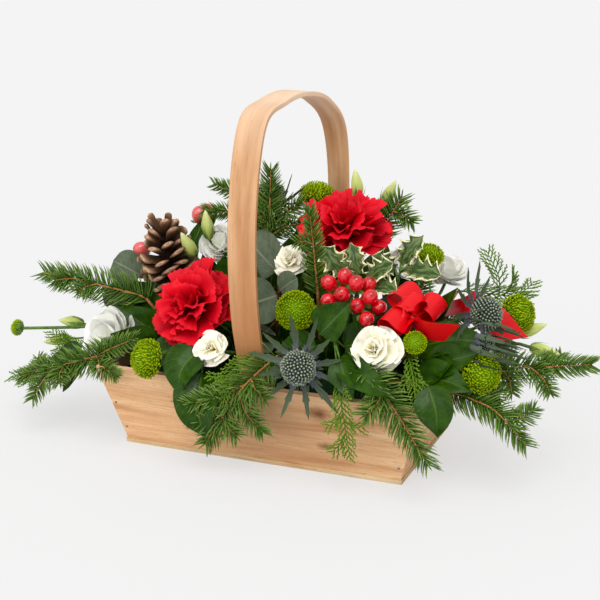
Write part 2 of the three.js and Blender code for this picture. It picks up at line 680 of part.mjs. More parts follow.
plant("carnation_left", carnation(
  [-0.5, -0.45], vec(-69, -55, 50), vec(-0.25, -0.7, 0.67), CARNATION_DIAMETER, 9), RED);
plant("carnation_right", carnation(
  [0.42, 0.15], vec(47, 15, 118), vec(0.05, -0.55, 0.84), CARNATION_DIAMETER, 9), RED);
plant("spray_carnation_front_left", carnation(
  [-0.25, -0.75], vec(-34, -95, 26), vec(-0.05, -0.9, 0.42), SPRAY_DIAMETER, 5), CREAM);
plant("spray_carnation_centre", carnation(
  [0.05, -0.2], vec(11, -25, 91), vec(-0.1, -0.75, 0.65), SPRAY_DIAMETER, 5), CREAM);
plant("spray_carnation_front_right", carnation(
  [0.8, -0.7], vec(111, -85, 40), vec(0.05, -0.88, 0.47), WIDE_SPRAY_DIAMETER, 6), CREAM);
plant("button_mum_front_left", flowerStem([-0.7, -0.75], [
  button(vec(-89, -108, 14), vec(-0.6, -0.75, 0.28), MUM_DIAMETER, { via: [vec(-84, -80, 12)] }),
]), LIME);
plant("button_mum_centre", flowerStem([0.25, -0.55], [
  button(vec(32, -65, 59), vec(0.25, -0.85, 0.45), MUM_DIAMETER),
]), LIME);
plant("button_mum_back", flowerStem([0.05, 0.6], [
  button(vec(4, 60, 130), vec(0, 0.25, 0.97), MUM_DIAMETER),
]), LIME);
plant("button_mum_right_pair", flowerStem([0.93, -0.55], [
  button(vec(194, -55, 20), vec(0.75, -0.6, 0.25), MUM_DIAMETER, { via: [vec(150, -45, 14)] }),
  button(vec(142, -75, 47), vec(0.2, -0.85, 0.45), YOUNG_MUM_DIAMETER),
]), LIME);
plant("button_mum_right_spray", flowerStem([0.95, -0.15], [
  button(vec(204, 24, 50), vec(0.85, -0.35, 0.4), MUM_DIAMETER, { via: [vec(150, 12, 26)], fork: 0.5 }),
  button(vec(120, 30, 92), vec(0.1, -0.15, 0.95), SMALL_MUM_DIAMETER),
]), LIME);
plant("button_mum_far_left", flowerStem([-0.92, 0.1], [
  button(vec(-275, -20, -7), vec(-1, 0, 0.05), MUM_BUD_DIAMETER,
    { via: [vec(-150, -5, 8), vec(-206, -20, 2)] }),
]), LIME);
plant("thistle_front", flowerStem([0.4, -0.8], [
  thistle(vec(54, -112, 26), vec(0.2, -0.93, 0.3), THISTLE_DIAMETER, THISTLE_BRACT,
    { via: [vec(50, -84, 18)] }),
]), BLUE_GREY);
plant("thistle_right", flowerStem([0.85, -0.35], [
  thistle(vec(184, -26, 62), vec(0.93, -0.3, 0.2), SMALL_THISTLE_DIAMETER, THISTLE_BRACT,
    { from: -0.08, to: 0.4, fork: 0.8 }),
  thistle(vec(192, -46, 44), vec(0.95, -0.2, -0.1), YOUNG_THISTLE_DIAMETER, THISTLE_BRACT,
    { from: -0.15, to: 0.15 }),
]), BLUE_GREY);
plant("thistle_back", flowerStem([-0.25, 0.65], [
  thistle(vec(-44, 62, 120), vec(-0.2, 0.5, 0.85), SMALL_THISTLE_DIAMETER, THISTLE_BRACT),
]), BLUE_GREY);
plant("pine_cone", pineCone([-0.85, 0.05], vec(-117, -5, 76), vec(-0.1, -0.15, 0.98)), BROWN);
plant("ribbon_bow", ribbonBow([0.68, -0.62], vec(134, -55, 62), [
  { reach: vec(-14, 5, 28), across: vec(0.8, -0.6, 0) },
  { reach: vec(-27, -8, 0), across: vec(0, -0.4, 0.9) },
  { reach: vec(6, -22, 12), across: vec(0.9, 0.3, 0) },
  { reach: vec(24, 10, 14), across: vec(-0.3, -0.3, 0.9) },
], [
  { way: [vec(150, -68, 54), vec(172, -66, 53)], across: vec(0.1, -0.5, 0.8) },
  { way: [vec(150, -28, 62), vec(168, 2, 60), vec(190, -4, 54), vec(214, -6, 26)],
    across: vec(0.4, -0.7, 0.5) },
]), RIBBON_RED);
plant("lisianthus_left", flowerStem([-0.88, -0.35], [
  cup(vec(-163, -40, 14), vec(-0.7, -0.45, 0.55), LISIANTHUS_DIAMETER,
    { fork: 0.6, via: [vec(-130, -26, 4)] }),
  bud(vec(-221, -10, 2), vec(-1, 0.05, 0), BUD_LENGTH),
  bud(vec(-229, -24, -13), vec(-0.9, -0.1, -0.2), BUD_LENGTH),
]), CREAM);
plant("lisianthus_back_left", flowerStem([-0.62, 0.35], [
  cup(vec(-78, 22, 90), vec(-0.05, -0.5, 0.86), LISIANTHUS_DIAMETER),
  bud(vec(-93, -14, 92), vec(-0.3, -0.4, 0.85), BUD_LENGTH),
  bud(vec(-88, 46, 104), vec(-0.1, 0, 1), BUD_LENGTH),
]), CREAM);
plant("lisianthus_back_right", flowerStem([0.85, 0.55], [
  cup(vec(134, 60, 72), vec(0.45, 0.1, 0.9), LISIANTHUS_DIAMETER),
  cup(vec(92, 62, 82), vec(-0.1, -0.2, 0.97), LISIANTHUS_DIAMETER),
]), CREAM);
plant("lisianthus_buds_back", flowerStem([0.45, 0.6], [
  bud(vec(41, 62, 143), vec(-0.1, 0, 1), BUD_LENGTH),
  bud(vec(74, 57, 138), vec(0.4, 0, 0.9), BUD_LENGTH),
]), BUD_GREEN);
plant("lisianthus_buds_right", flowerStem([0.93, 0.35], [
  bud(vec(232, 10, 24), vec(0.95, -0.1, -0.1), BUD_LENGTH),
  bud(vec(214, 34, 34), vec(0.8, 0.3, 0.3), BUD_LENGTH),
]), BUD_GREEN);
plant("hypericum_centre", berrySpray([0.6, -0.4], vec(76, -40, 66), [
  vec(57, -50, 82), vec(60, -58, 69), vec(70, -46, 88), vec(72, -58, 76), vec(83, -55, 86),
  vec(90, -44, 82), vec(97, -60, 77), vec(86, -60, 68), vec(102, -52, 66), vec(97, -68, 60),
]), BERRY_RED);
plant("hypericum_left", berrySpray([-0.78, 0.5], vec(-118, 34, 84), [
  vec(-156, 15, 75), vec(-146, 22, 84), vec(-101, 42, 109), vec(-112, 48, 104),
], [
  { tip: vec(-146, 27, 102), width: 18, facing: vec(0, -0.9, 0.3) },
  { tip: vec(-94, 58, 112), width: 18, facing: vec(0, -0.9, 0.3) },
]), CORAL);
plant("holly_centre", leafStem([0.5, -0.15], [vec(66, -24, 60), vec(74, -28, 82)], [
  { from: 0.96, base: vec(68, -30, 84), tip: vec(42, -34, 110), width: 26, facing: vec(0, -0.9, 0.4) },
  { from: 0.97, base: vec(75, -28, 86), tip: vec(66, -22, 112), width: 24, facing: vec(0.2, -0.9, 0.3) },
  { from: 0.96, base: vec(84, -32, 84), tip: vec(112, -42, 104), width: 26, facing: vec(0, -0.8, 0.6) },
  { from: 0.9, base: vec(92, -34, 80), tip: vec(118, -50, 82), width: 24, facing: vec(0, -0.7, 0.7) },
], hollyStations), HOLLY_GREEN);
plant("holly_right", leafStem([0.8, 0], [vec(100, 0, 60), vec(106, -4, 88)], [
  { from: 0.97, base: vec(112, -8, 90), tip: vec(148, -20, 90), width: 28, facing: vec(0, -0.7, 0.7) },
  { from: 0.95, base: vec(105, -2, 92), tip: vec(124, 2, 118), width: 26, facing: vec(-0.2, -0.9, 0.4) },
  { from: 0.9, base: vec(98, 4, 84), tip: vec(82, -14, 100), width: 26, facing: vec(0.2, -0.8, 0.5) },
], hollyStations), HOLLY_GREEN);
plant("eucalyptus_left", leafStem([-0.95, 0.45], [vec(-136, 8, 30), vec(-150, 4, 52)], [
  { from: 0.97, base: vec(-152, 4, 52), tip: vec(-180, 2, 64), width: 34, facing: vec(0, -0.8, 0.6) },
  { from: 0.85, base: vec(-148, 0, 36), tip: vec(-186, -10, 30), width: 30, facing: vec(0, -0.8, 0.6) },
  { from: 0.9, base: vec(-146, 10, 48), tip: vec(-160, 36, 60), width: 32, facing: vec(-0.4, 0.3, 0.8) },
], roundStations), GREY_GREEN);
plant("eucalyptus_centre", leafStem([-0.05, -0.45], [vec(6, -40, 50), vec(0, -26, 84)], [
  { from: 0.97, base: vec(-2, -24, 80), tip: vec(-34, -14, 104), width: 44, facing: vec(-0.1, -0.95, 0.2) },
  { from: 0.75, base: vec(6, -44, 64), tip: vec(-20, -58, 54), width: 42, facing: vec(0.1, -0.95, 0.3) },
  { from: 0.8, base: vec(8, -42, 68), tip: vec(26, -46, 82), width: 24, facing: vec(0.2, -0.8, 0.5) },
  { from: 0.62, base: vec(0, -46, 34), tip: vec(-14, -62, 12), width: 34, facing: vec(0, -0.9, 0.5) },
], roundStations), GREY_GREEN);
plant("salal_front_left", leafStem([-0.4, -0.85], [vec(-48, -84, 22)], [
  { from: 0.97, base: vec(-48, -90, 22), tip: vec(-58, -110, -16), bend: vec(-4, -8, 4), width: 34,
    facing: vec(-0.1, -0.95, 0.2) },
  { from: 0.9, base: vec(-42, -98, 4), tip: vec(-34, -112, -50), bend: vec(0, -10, 0), width: 42,
    facing: vec(0.1, -0.97, 0.2) },
  { from: 0.84, base: vec(-60, -74, 14), tip: vec(-112, -84, 6), width: 34, facing: vec(0, -0.7, 0.7) },
], leafStations), LEAF_GREEN);
plant("salal_front_right", leafStem([0.72, -0.9], [vec(120, -72, 16), vec(156, -92, 20)], [
  { from: 0.97, base: vec(160, -94, 18), tip: vec(170, -98, -24), bend: vec(4, -6, 4), width: 32,
    facing: vec(0.2, -0.95, 0.2) },
], leafStations), LEAF_GREEN);
plant("salal_right", leafStem([0.97, -0.75], [vec(156, -46, 6)], [
  { from: 0.97, base: vec(160, -50, 8), tip: vec(219, -62, -22), bend: vec(4, 0, 10), width: 26,
    facing: vec(0.2, -0.7, 0.7) },
  { from: 0.7, base: vec(136, -36, 38), tip: vec(180, -44, 38), width: 26, facing: vec(0, -0.7, 0.7) },
  { from: 0.8, base: vec(148, -56, 14), tip: vec(176, -72, 34), width: 28, facing: vec(-0.1, -0.8, 0.6) },
], leafStations), LEAF_GREEN);
plant("salal_centre", leafStem([0.55, -0.65], [vec(66, -62, 40), vec(74, -84, 44)], [
  { from: 0.8, base: vec(60, -80, 46), tip: vec(86, -76, 76), width: 34, facing: vec(0, -0.9, 0.4) },
  { from: 0.97, base: vec(80, -94, 30), tip: vec(138, -111, 8), width: 26, facing: vec(0.1, -0.8, 0.6) },
  { from: 0.93, base: vec(84, -98, 34), tip: vec(101, -112, 2), width: 24, facing: vec(0, -0.95, 0.3) },
], leafStations), LEAF_GREEN);
plant("salal_left", leafStem([-0.97, -0.8], [vec(-150, -54, 0), vec(-176, -52, -8)], [
  { from: 0.97, base: vec(-180, -54, -12), tip: vec(-202, -64, -48), width: 28,
    facing: vec(-0.5, -0.8, 0.3) },
  { from: 0.93, base: vec(-184, -50, -10), tip: vec(-226, -48, -26), width: 24,
    facing: vec(-0.1, -0.7, 0.7) },
], leafStations), LEAF_GREEN);
plant("salal_back_left", leafStem([-0.2, 0.85], [vec(-28, 82, 28)], [
  { from: 0.97, base: vec(-34, 88, 28), tip: vec(-64, 114, -22), width: 38, facing: vec(-0.3, 0.9, 0.4) },
  { from: 0.9, base: vec(-24, 90, 24), tip: vec(-20, 116, -34), width: 38, facing: vec(0, 0.95, 0.3) },
  { from: 0.84, base: vec(-28, 80, 42), tip: vec(-32, 100, 86), width: 36, facing: vec(0, 0.9, 0.3) },
  { from: 0.78, base: vec(-46, 66, 34), tip: vec(-86, 54, 70), width: 40, facing: vec(-0.1, -0.8, 0.6) },
  { from: 0.72, base: vec(-40, 62, 24), tip: vec(-92, 72, 36), width: 38, facing: vec(-0.2, 0.6, 0.8) },
], leafStations), LEAF_GREEN);
plant("salal_back_right", leafStem([0.38, 0.85], [vec(48, 82, 28)], [
  { from: 0.97, base: vec(54, 88, 28), tip: vec(80, 114, -22), width: 38, facing: vec(0.3, 0.9, 0.4) },
  { from: 0.9, base: vec(46, 90, 24), tip: vec(42, 116, -36), width: 38, facing: vec(0, 0.95, 0.3) },
  { from: 0.84, base: vec(50, 80, 42), tip: vec(58, 102, 80), width: 36, facing: vec(0, 0.9, 0.3) },
  { from: 0.78, base: vec(66, 66, 36), tip: vec(104, 48, 62), width: 40, facing: vec(0.1, -0.8, 0.6) },
  { from: 0.72, base: vec(34, 64, 34), tip: vec(4, 56, 76), width: 38, facing: vec(0, -0.8, 0.6) },
], leafStations), LEAF_GREEN);

const ABOVE = vec(0, -0.5, 0.87);
plant("fir_left_high", sprig([-0.95, -0.2], [
  vec(-135, -19, 38), vec(-185, -22, 47), vec(-239, -25, 54),
], [
  [0.55, vec(-190, -44, 34)], [0.75, vec(-218, -40, 44)],
], ABOVE), FIR_GREEN);
plant("fir_left_low", sprig([-0.82, -0.9], [
  vec(-146, -70, 4), vec(-198, -74, -16), vec(-240, -72, -34),
], [
  [0.5, vec(-186, -96, -26)], [0.6, vec(-216, -94, -46)], [0.7, vec(-234, -52, -22)],
  [0.2, vec(-136, -78, 24)],
], ABOVE), FIR_GREEN);
plant("fir_front_left", sprig([0.12, -0.85], [vec(24, -88, 24), vec(2, -108, 1), vec(-34, -110, -56)], [
  [0.45, vec(20, -110, -38)], [0.55, vec(-28, -116, -10)], [0.75, vec(-44, -114, -34)],
  [0.7, vec(-4, -112, -44)], [0.36, vec(-52, -118, -20)],
], FRONT), FIR_GREEN);
plant("fir_front_right", sprig([0.85, -0.9], [
  vec(104, -92, 24), vec(131, -107, 5), vec(166, -110, -44),
], [
  [0.55, vec(112, -112, -26)], [0.6, vec(156, -110, -8)], [0.75, vec(144, -112, -44)],
  [0.4, vec(164, -112, 4)],
], FRONT), FIR_GREEN);
plant("fir_right", sprig([0.97, -0.38], [vec(152, -20, 8), vec(204, -18, 14), vec(277, -10, 24)], [
  [0.6, vec(249, -38, 4)], [0.65, vec(246, 14, 22)], [0.4, vec(218, -44, 2)],
], ABOVE), FIR_GREEN);
plant("fir_right_low", sprig([0.97, -0.95], [vec(165, -66, 2), vec(205, -66, -8), vec(240, -64, -28)], [
  [0.6, vec(206, -88, -26)], [0.7, vec(238, -46, -8)],
], ABOVE), FIR_GREEN);
plant("fir_top", sprig([-0.25, 0.35], [vec(-35, 30, 96), vec(-36, 32, 157)], [
  [0.14, vec(-97, 30, 114)], [0.3, vec(-91, 38, 138)], [0.45, vec(-12, 36, 142)], [0.2, vec(-10, 40, 120)],
], FRONT), FIR_GREEN);
plant("fir_middle", sprig([0.3, -0.25], [vec(41, -36, 69), vec(34, -38, 143)], [
  [0.6, vec(22, -40, 112)],
], FRONT, { reach: 10 }), FIR_GREEN);
plant("fir_top_right", sprig([0.55, 0.45], [vec(70, 40, 100), vec(88, 50, 138)], [
  [0.7, vec(100, 48, 116)], [0.72, vec(66, 52, 126)],
], FRONT), FIR_GREEN);
plant("fir_back_left", sprig([-0.55, 0.85], [vec(-72, 90, 26), vec(-92, 112, 0), vec(-112, 118, -40)], [
  [0.1, vec(-86, 106, 64)], [0.3, vec(-130, 106, 16)], [0.4, vec(-80, 116, -30)],
  [0.55, vec(-132, 114, -16)],
], vec(0, 1, 0.3)), FIR_GREEN);
plant("fir_back_right", sprig([0.6, 0.85], [vec(82, 90, 24), vec(104, 112, 0), vec(128, 118, -38)], [
  [0.1, vec(98, 106, 60)], [0.3, vec(144, 104, 16)], [0.4, vec(94, 116, -32)],
  [0.55, vec(148, 112, -14)],
], vec(0, 1, 0.3)), FIR_GREEN);

const CYPRESS = { reach: CYPRESS_REACH, spacing: 18 };
plant("cypress_right", sprig([0.97, 0.6], [vec(144, 42, 58), vec(209, 52, 56)], [
  [0.6, vec(164, 62, 94)], [0.65, vec(196, 40, 80)], [0.75, vec(206, 74, 66)],
], ABOVE, CYPRESS), CYPRESS_GREEN);
plant("cypress_front", sprig([0.65, -0.95], [vec(80, -94, 18), vec(90, -111, 4), vec(100, -113, -50)], [
  [0.5, vec(79, -116, -22)], [0.58, vec(112, -114, -18)], [0.7, vec(84, -116, -44)],
], FRONT, CYPRESS), CYPRESS_GREEN);
plant("cypress_left", sprig([-0.97, -0.42], [
  vec(-152, -30, 2), vec(-205, -44, -24), vec(-270, -46, -48),
], [
  [0.6, vec(-212, -26, -28)], [0.7, vec(-240, -62, -46)],
], ABOVE, CYPRESS), CYPRESS_GREEN);

// The foam, with a hole for each stem.
const foamBlock = solidOf(new THREE.BoxGeometry(FOAM_LENGTH, FOAM_WIDTH, FOAM_HEIGHT)
  .translate(0, 0, -FOAM_HEIGHT / 2));
const foam = stems.reduce((rest, stem) => rest.subtract(stem), foamBlock);
addMesh(arrangement, "floral_foam", foam, FOAM_GREEN);

export default basket;
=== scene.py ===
"""A florist's wooden trug with a winter arrangement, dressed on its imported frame."""

import math

import bpy
import numpy as np
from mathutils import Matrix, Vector


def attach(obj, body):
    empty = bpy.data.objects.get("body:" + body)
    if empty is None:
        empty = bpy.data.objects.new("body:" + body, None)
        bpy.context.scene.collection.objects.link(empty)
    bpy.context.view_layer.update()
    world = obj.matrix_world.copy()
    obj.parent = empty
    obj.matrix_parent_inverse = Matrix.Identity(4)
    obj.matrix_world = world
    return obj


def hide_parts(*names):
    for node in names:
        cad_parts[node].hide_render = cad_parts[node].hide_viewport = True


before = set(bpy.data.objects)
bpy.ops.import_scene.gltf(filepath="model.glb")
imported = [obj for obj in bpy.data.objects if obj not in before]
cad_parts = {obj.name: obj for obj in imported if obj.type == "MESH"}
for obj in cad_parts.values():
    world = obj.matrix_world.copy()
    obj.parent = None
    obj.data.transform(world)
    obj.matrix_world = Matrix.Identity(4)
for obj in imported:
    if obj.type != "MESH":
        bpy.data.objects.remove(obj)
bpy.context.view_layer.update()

# Sizes in millimetres. Places in the arrangement are measured from the middle of the foam's top.
MM = 0.001
FOAM_TOP = 83.6
FOAM_HALF = (115.0, 52.0)
STEM_DEPTH = 32.0
STEM_LEAN = 0.88
STEM_RADIUS = 2.0
STEM_POINTS = 16
TWIG_RADIUS = 1.5
STALK_RADIUS = 0.9
WIRE_RADIUS = 1.2
CARNATION = 77.0
SPRAY = 31.0
WIDE_SPRAY = 42.0
LISIANTHUS = 49.0
YOUNG_LISIANTHUS = 32.0
BUD = 28.0
MUM = 37.0
SMALL_MUM = 30.0
YOUNG_MUM = 21.0
MUM_BUD = 17.0
THISTLE = 27.0
YOUNG_THISTLE = 14.0
BRACT = 40.0
YOUNG_BRACT = 30.0
CONE_WIDTH = 52.0
CONE_LENGTH = 66.0
BERRY = 6.8
RIBBON_WIDTH = 24.0
NEEDLE = 21.0
LONG_NEEDLE = 24.0
SHORT_NEEDLE = 16.0
SCALE_SHOOT = 8.0
SLIM_SHOOT = 5.5
SHORT_SHOOT = 4.5

TAU = 2 * math.pi
GOLDEN = math.pi * (3 - math.sqrt(5))
UP = np.array([0.0, 0.0, 1.0])
FRONT = np.array([0.0, -1.0, 0.0])
BACK = np.array([0.0, 1.0, 0.3])
ABOVE = np.array([0.0, -0.5, 0.87])
VIEW = np.array([0.1, -0.85, 0.5])
SEED = 11
rng = np.random.default_rng(SEED)


# Lines

SPLINE_STEPS = 24


def vec(*xyz):
    return np.array(xyz, float)


def unit(v):
    v = np.asarray(v, float)
    return v / np.maximum(np.linalg.norm(v, axis=-1, keepdims=True), 1e-9)


def lerp(a, b, share):
    return a + (b - a) * share


def even(line, count):
    """The same line with its points evenly spaced."""
    at = np.concatenate([[0], np.cumsum(np.linalg.norm(np.diff(line, axis=0), axis=1))])
    want = np.linspace(0, at[-1], count)
    return np.column_stack([np.interp(want, at, line[:, k]) for k in range(3)])


def spline(points, count, power=0.5):
    """A smooth line through points, evenly spaced."""
    p = np.array(points, float)
    p = np.vstack([2 * p[0] - p[1], p, 2 * p[-1] - p[-2]])
    t = np.linspace(0, 1, SPLINE_STEPS, endpoint=False)[:, None]
    runs = []
    for a, b, c, d in zip(p, p[1:], p[2:], p[3:]):
        u, v, w = (max(np.linalg.norm(x), 1e-3) ** power for x in (b - a, c - b, d - c))
        start = v * ((b - a) / u - (c - a) / (u + v) + (c - b) / v)
        end = v * ((c - b) / v - (d - b) / (v + w) + (d - c) / w)
        runs.append((2 * t**3 - 3 * t**2 + 1) * b + (t**3 - 2 * t**2 + t) * start
                    + (3 * t**2 - 2 * t**3) * c + (t**3 - t**2) * end)
    return even(np.vstack([*runs, p[-2:-1]]), count)


def at(line, share):
    """The point or points at a share of an evenly spaced line."""
    x = np.multiply(share, len(line) - 1)
    return np.array([np.interp(x, np.arange(len(line)), line[:, k]) for k in range(3)]).T


def length_of(line):
    return np.linalg.norm(np.diff(line, axis=0), axis=1).sum()


def directions(line, hint):
    """Unit vectors along, across and out of a line, out being towards the hint."""
    along = unit(np.gradient(line, axis=0))
    across = unit(np.cross(along, hint))
    return along, across, np.cross(across, along)


def axes_of(facing, hint=UP):
    """Rows side, rise and out of something that faces a way."""
    out = unit(facing)
    side = unit(np.cross(out, hint))
    return np.array([side, np.cross(side, out), out])


# Pieces

class Form:
    """The faces of one piece, gathered in millimetres, each face with its look."""

    def __init__(self):
        self.points, self.quads, self.caps, self.marks = [], [], [], []
        self.looks, self.count = [], 0

    def look(self, name):
        if name not in self.looks:
            self.looks.append(name)
        return self.looks.index(name)

    def grid(self, rows, look, seed=None, wrap=False):
        """One or many grids of points, as rows of columns. A wrapped grid closes into a tube."""
        rows = np.asarray(rows, float)
        rows = rows[None] if rows.ndim == 3 else rows
        many, n, m = rows.shape[:3]
        seed = rng.random(many) if seed is None else np.broadcast_to(seed, many)
        index = np.arange(n * m).reshape(n, m)
        ends = (index[0], index[-1][::-1])
        index = np.hstack([index, index[:, :1]]) if wrap else index
        quads = np.stack([index[:-1, :-1], index[1:, :-1], index[1:, 1:], index[:-1, 1:]], -1)
        start = self.count + n * m * np.arange(many)
        quads = (quads.reshape(1, -1, 4) + start[:, None, None]).reshape(-1, 4)
        number = self.look(look)
        self.quads.append((quads, number))
        if wrap:
            self.caps += [(ring + s, number) for s in start for ring in ends]
        along = np.linspace(0, 1, n)[None, :, None]
        across = np.linspace(-1, 1, m)[None, None, :]
        shape = (many, n, m)
        self.marks.append(np.stack([np.broadcast_to(x, shape).ravel() for x in (
            along, across, seed[:, None, None])]))
        self.points.append(rows.reshape(-1, 3))
        self.count += many * n * m

    def lens(self, rows, thick, look):
        """A leaf or petal: two skins over a grid of points that meet at its edges."""
        rows = np.asarray(rows, float)
        normal = unit(np.cross(np.gradient(rows, axis=0), np.gradient(rows, axis=1)))
        half = np.full(rows.shape[:2], thick / 2)
        half[[0, -1]] = 0
        half[:, [0, -1]] = 0
        seed = rng.random()
        self.grid(rows + normal * half[..., None], look, seed)
        self.grid((rows - normal * half[..., None])[:, ::-1], look, seed)

    def mesh(self, name, lift=FOAM_TOP):
        points = (np.vstack(self.points) + [0, 0, lift]) * MM
        quads = np.vstack([q for q, _ in self.quads])
        looks = np.concatenate([np.full(len(q), number) for q, number in self.quads])
        sizes = np.concatenate([np.full(len(quads), 4), [len(c) for c, _ in self.caps]]).astype(int)
        corners = np.concatenate([quads.ravel(), *(c for c, _ in self.caps)]).astype(int)
        looks = np.concatenate([looks, [number for _, number in self.caps]]).astype(int)
        mesh = bpy.data.meshes.new(name)
        mesh.vertices.add(len(points))
        mesh.vertices.foreach_set("co", points.ravel())
        mesh.loops.add(len(corners))
        mesh.loops.foreach_set("vertex_index", corners)
        mesh.polygons.add(len(sizes))
        mesh.polygons.foreach_set("loop_start", np.concatenate([[0], np.cumsum(sizes)[:-1]]))
        mesh.polygons.foreach_set("material_index", looks)
        mesh.polygons.foreach_set("use_smooth", np.ones(len(sizes), bool))
        mesh.update(calc_edges=True)
        for mark, values in zip(("along", "across", "seed"), np.hstack(self.marks)):
            mesh.attributes.new(mark, "FLOAT", "POINT").data.foreach_set("value", values)
        for look in self.looks:
            mesh.materials.append(LOOKS[look])
        return mesh


def piece(name, form, node, lift=FOAM_TOP):
    """Shows a form as a piece of the object, in place of its node."""
    made = bpy.data.objects.new(name, form.mesh(name, lift))
    bpy.context.scene.collection.objects.link(made)
    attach(made, "root")
    if node:
        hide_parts(node)
    return made


# Looks

LOOKS = {}
GAMMA = 2.2
MATT = 0.12
SEED_SPREAD = 71.0


def rgb(r, g, b):
    """A screen colour as the linear colour that a shader takes."""
    return tuple((c / 255) ** GAMMA for c in (r, g, b)) + (1.0,)


def grey(share):
    return (share, share, share, 1.0)


WHITE = grey(1.0)


class Nodes:
    """The shader nodes of a material or of the world."""

    def __init__(self, tree):
        self.tree = tree

    def put(self, socket, value):
        if isinstance(value, bpy.types.NodeSocket):
            self.tree.links.new(value, socket)
        else:
            socket.default_value = value

    def add(self, kind, inputs, out=0, **settings):
        node = self.tree.nodes.new("ShaderNode" + kind)
        for name, value in settings.items():
            setattr(node, name, value)
        for socket, value in inputs.items():
            self.put(node.inputs[socket], value)
        return node.outputs[out]

    def maths(self, kind, a, b=0.0):
        return self.add("Math", {0: a, 1: b}, operation=kind)

    def seen(self, *rays):
        """One for rays of these kinds, else nought."""
        path = self.tree.nodes.new("ShaderNodeLightPath").outputs
        share = path[rays[0]]
        for ray in rays[1:]:
            share = self.maths("MAXIMUM", share, path[ray])
        return share

    def show(self, end, share, below, above):
        """Shows one shader over another by a share."""
        mixed = self.add("MixShader", {0: share, 1: below, 2: above})
        self.put(self.tree.nodes[end].inputs["Surface"], mixed)


class Look(Nodes):
    """A material whose colour, roughness and bump come from nodes."""

    def __init__(self, name, roughness, **sockets):
        made = bpy.data.materials.new(name)
        made.use_nodes = True
        super().__init__(made.node_tree)
        self.shader = self.tree.nodes["Principled BSDF"]
        self.set("Roughness", roughness)
        self.set("Specular IOR Level", MATT)
        for socket, value in sockets.items():
            self.set(socket.replace("_", " "), value)
        LOOKS[name] = made

    def set(self, socket, value):
        self.put(self.shader.inputs[socket], value)

    def mark(self, name):
        return self.add("Attribute", {}, "Fac", attribute_name=name)

    def noise(self, scale, detail, stretch=(1, 1, 1), distortion=0.0):
        """Noise over the object's own space, so many turns a metre."""
        place = self.add("TexCoord", {}, "Object")
        place = self.add("Mapping", {"Vector": place, "Scale": stretch})
        return self.add("TexNoise", {"Vector": place, "Scale": scale, "Detail": detail,
                                     "Distortion": distortion}, "Fac")

    def fibres(self, along, across, detail=2):
        """Noise that runs along a leaf or petal, different on each."""
        sized = [self.maths("MULTIPLY", self.mark(name), times) for name, times in (
            ("along", along), ("across", across), ("seed", SEED_SPREAD))]
        place = self.add("CombineXYZ", dict(enumerate(sized)))
        return self.add("TexNoise", {"Vector": place, "Scale": 1.0, "Detail": detail}, "Fac")

    def ramp(self, share, *stops):
        node = self.tree.nodes.new("ShaderNodeValToRGB")
        while len(node.color_ramp.elements) < len(stops):
            node.color_ramp.elements.new(0.5)
        for element, (position, colour) in zip(node.color_ramp.elements, stops):
            element.position = position
            element.color = colour
        self.put(node.inputs["Fac"], share)
        return node.outputs["Color"]

    def level(self, share, low, high):
        """A share spread over a range, flat outside it."""
        return self.add("MapRange", {"Value": share, "From Min": low, "From Max": high})

    def mix(self, share, a, b, kind="MIX"):
        return self.add("Mix", {0: share, 6: a, 7: b}, 2, data_type="RGBA", blend_type=kind)

    def bump(self, height, strength, depth=0.0006):
        self.set("Normal", self.add("Bump", {"Height": height, "Strength": strength, "Distance": depth}))


def petal_look(name, stops, streak, roughness, dull=0.82, strength=0.35):
    """A soft petal: its colour from foot to edge, with fine streaks."""
    look = Look(name, roughness)
    tone = look.ramp(look.mark("along"), *stops)
    fibres = look.fibres(2.5, 16)
    shade = look.ramp(look.level(fibres, 0.3, 0.7), (0, streak), (1, WHITE))
    each = look.ramp(look.mark("seed"), (0, grey(dull)), (1, WHITE))
    look.set("Base Color", look.mix(1.0, look.mix(1.0, tone, shade, "MULTIPLY"), each, "MULTIPLY"))
    look.bump(fibres, strength)


def leaf_look(name, blade, vein, pale, roughness, veins=9.0, strength=0.22, **sockets):
    """A leaf: a pale midrib, side veins and a mottled blade."""
    look = Look(name, roughness, **sockets)
    side = look.maths("ABSOLUTE", look.mark("across"))
    slant = look.maths("SUBTRACT", look.maths("MULTIPLY", look.mark("along"), veins),
                       look.maths("MULTIPLY", side, 2.4))
    wave = look.maths("SINE", look.maths("MULTIPLY", slant, TAU))
    net = look.level(wave, 0.7, 1.0)
    rib = look.level(side, 0.07, 0.02)
    mottle = look.noise(140, 4)
    tone = look.mix(look.level(mottle, 0.3, 0.75), blade, pale)
    each = look.ramp(look.mark("seed"), (0, grey(0.7)), (1, WHITE))
    tone = look.mix(1.0, tone, each, "MULTIPLY")
    tone = look.mix(look.maths("MULTIPLY", net, strength), tone, vein)
    look.set("Base Color", look.mix(look.maths("MULTIPLY", rib, 0.7), tone, vein))
    height = look.maths("SUBTRACT", look.maths("MULTIPLY", mottle, 0.3), look.maths("ADD", net, rib))
    look.bump(height, 0.4)


def plain_look(name, dark, light, roughness, grain=400.0, strength=0.3, **sockets):
    """A mottled stalk, calyx or twig."""
    look = Look(name, roughness, **sockets)
    mottle = look.noise(grain, 4)
    look.set("Base Color", look.mix(look.level(mottle, 0.3, 0.7), dark, light))
    look.bump(mottle, strength)


def tipped_look(name, stops, roughness, strength=0.3):
    """Needles, florets, scales: their colour from foot to tip, each a little different."""
    look = Look(name, roughness)
    mottle = look.noise(700, 3)
    tone = look.ramp(look.mark("along"), *stops)
    each = look.ramp(look.mark("seed"), (0, grey(0.62)), (1, WHITE))
    tone = look.mix(1.0, tone, each, "MULTIPLY")
    shade = look.ramp(mottle, (0.25, grey(0.7)), (0.7, WHITE))
    look.set("Base Color", look.mix(1.0, tone, shade, "MULTIPLY"))
    look.bump(mottle, strength)


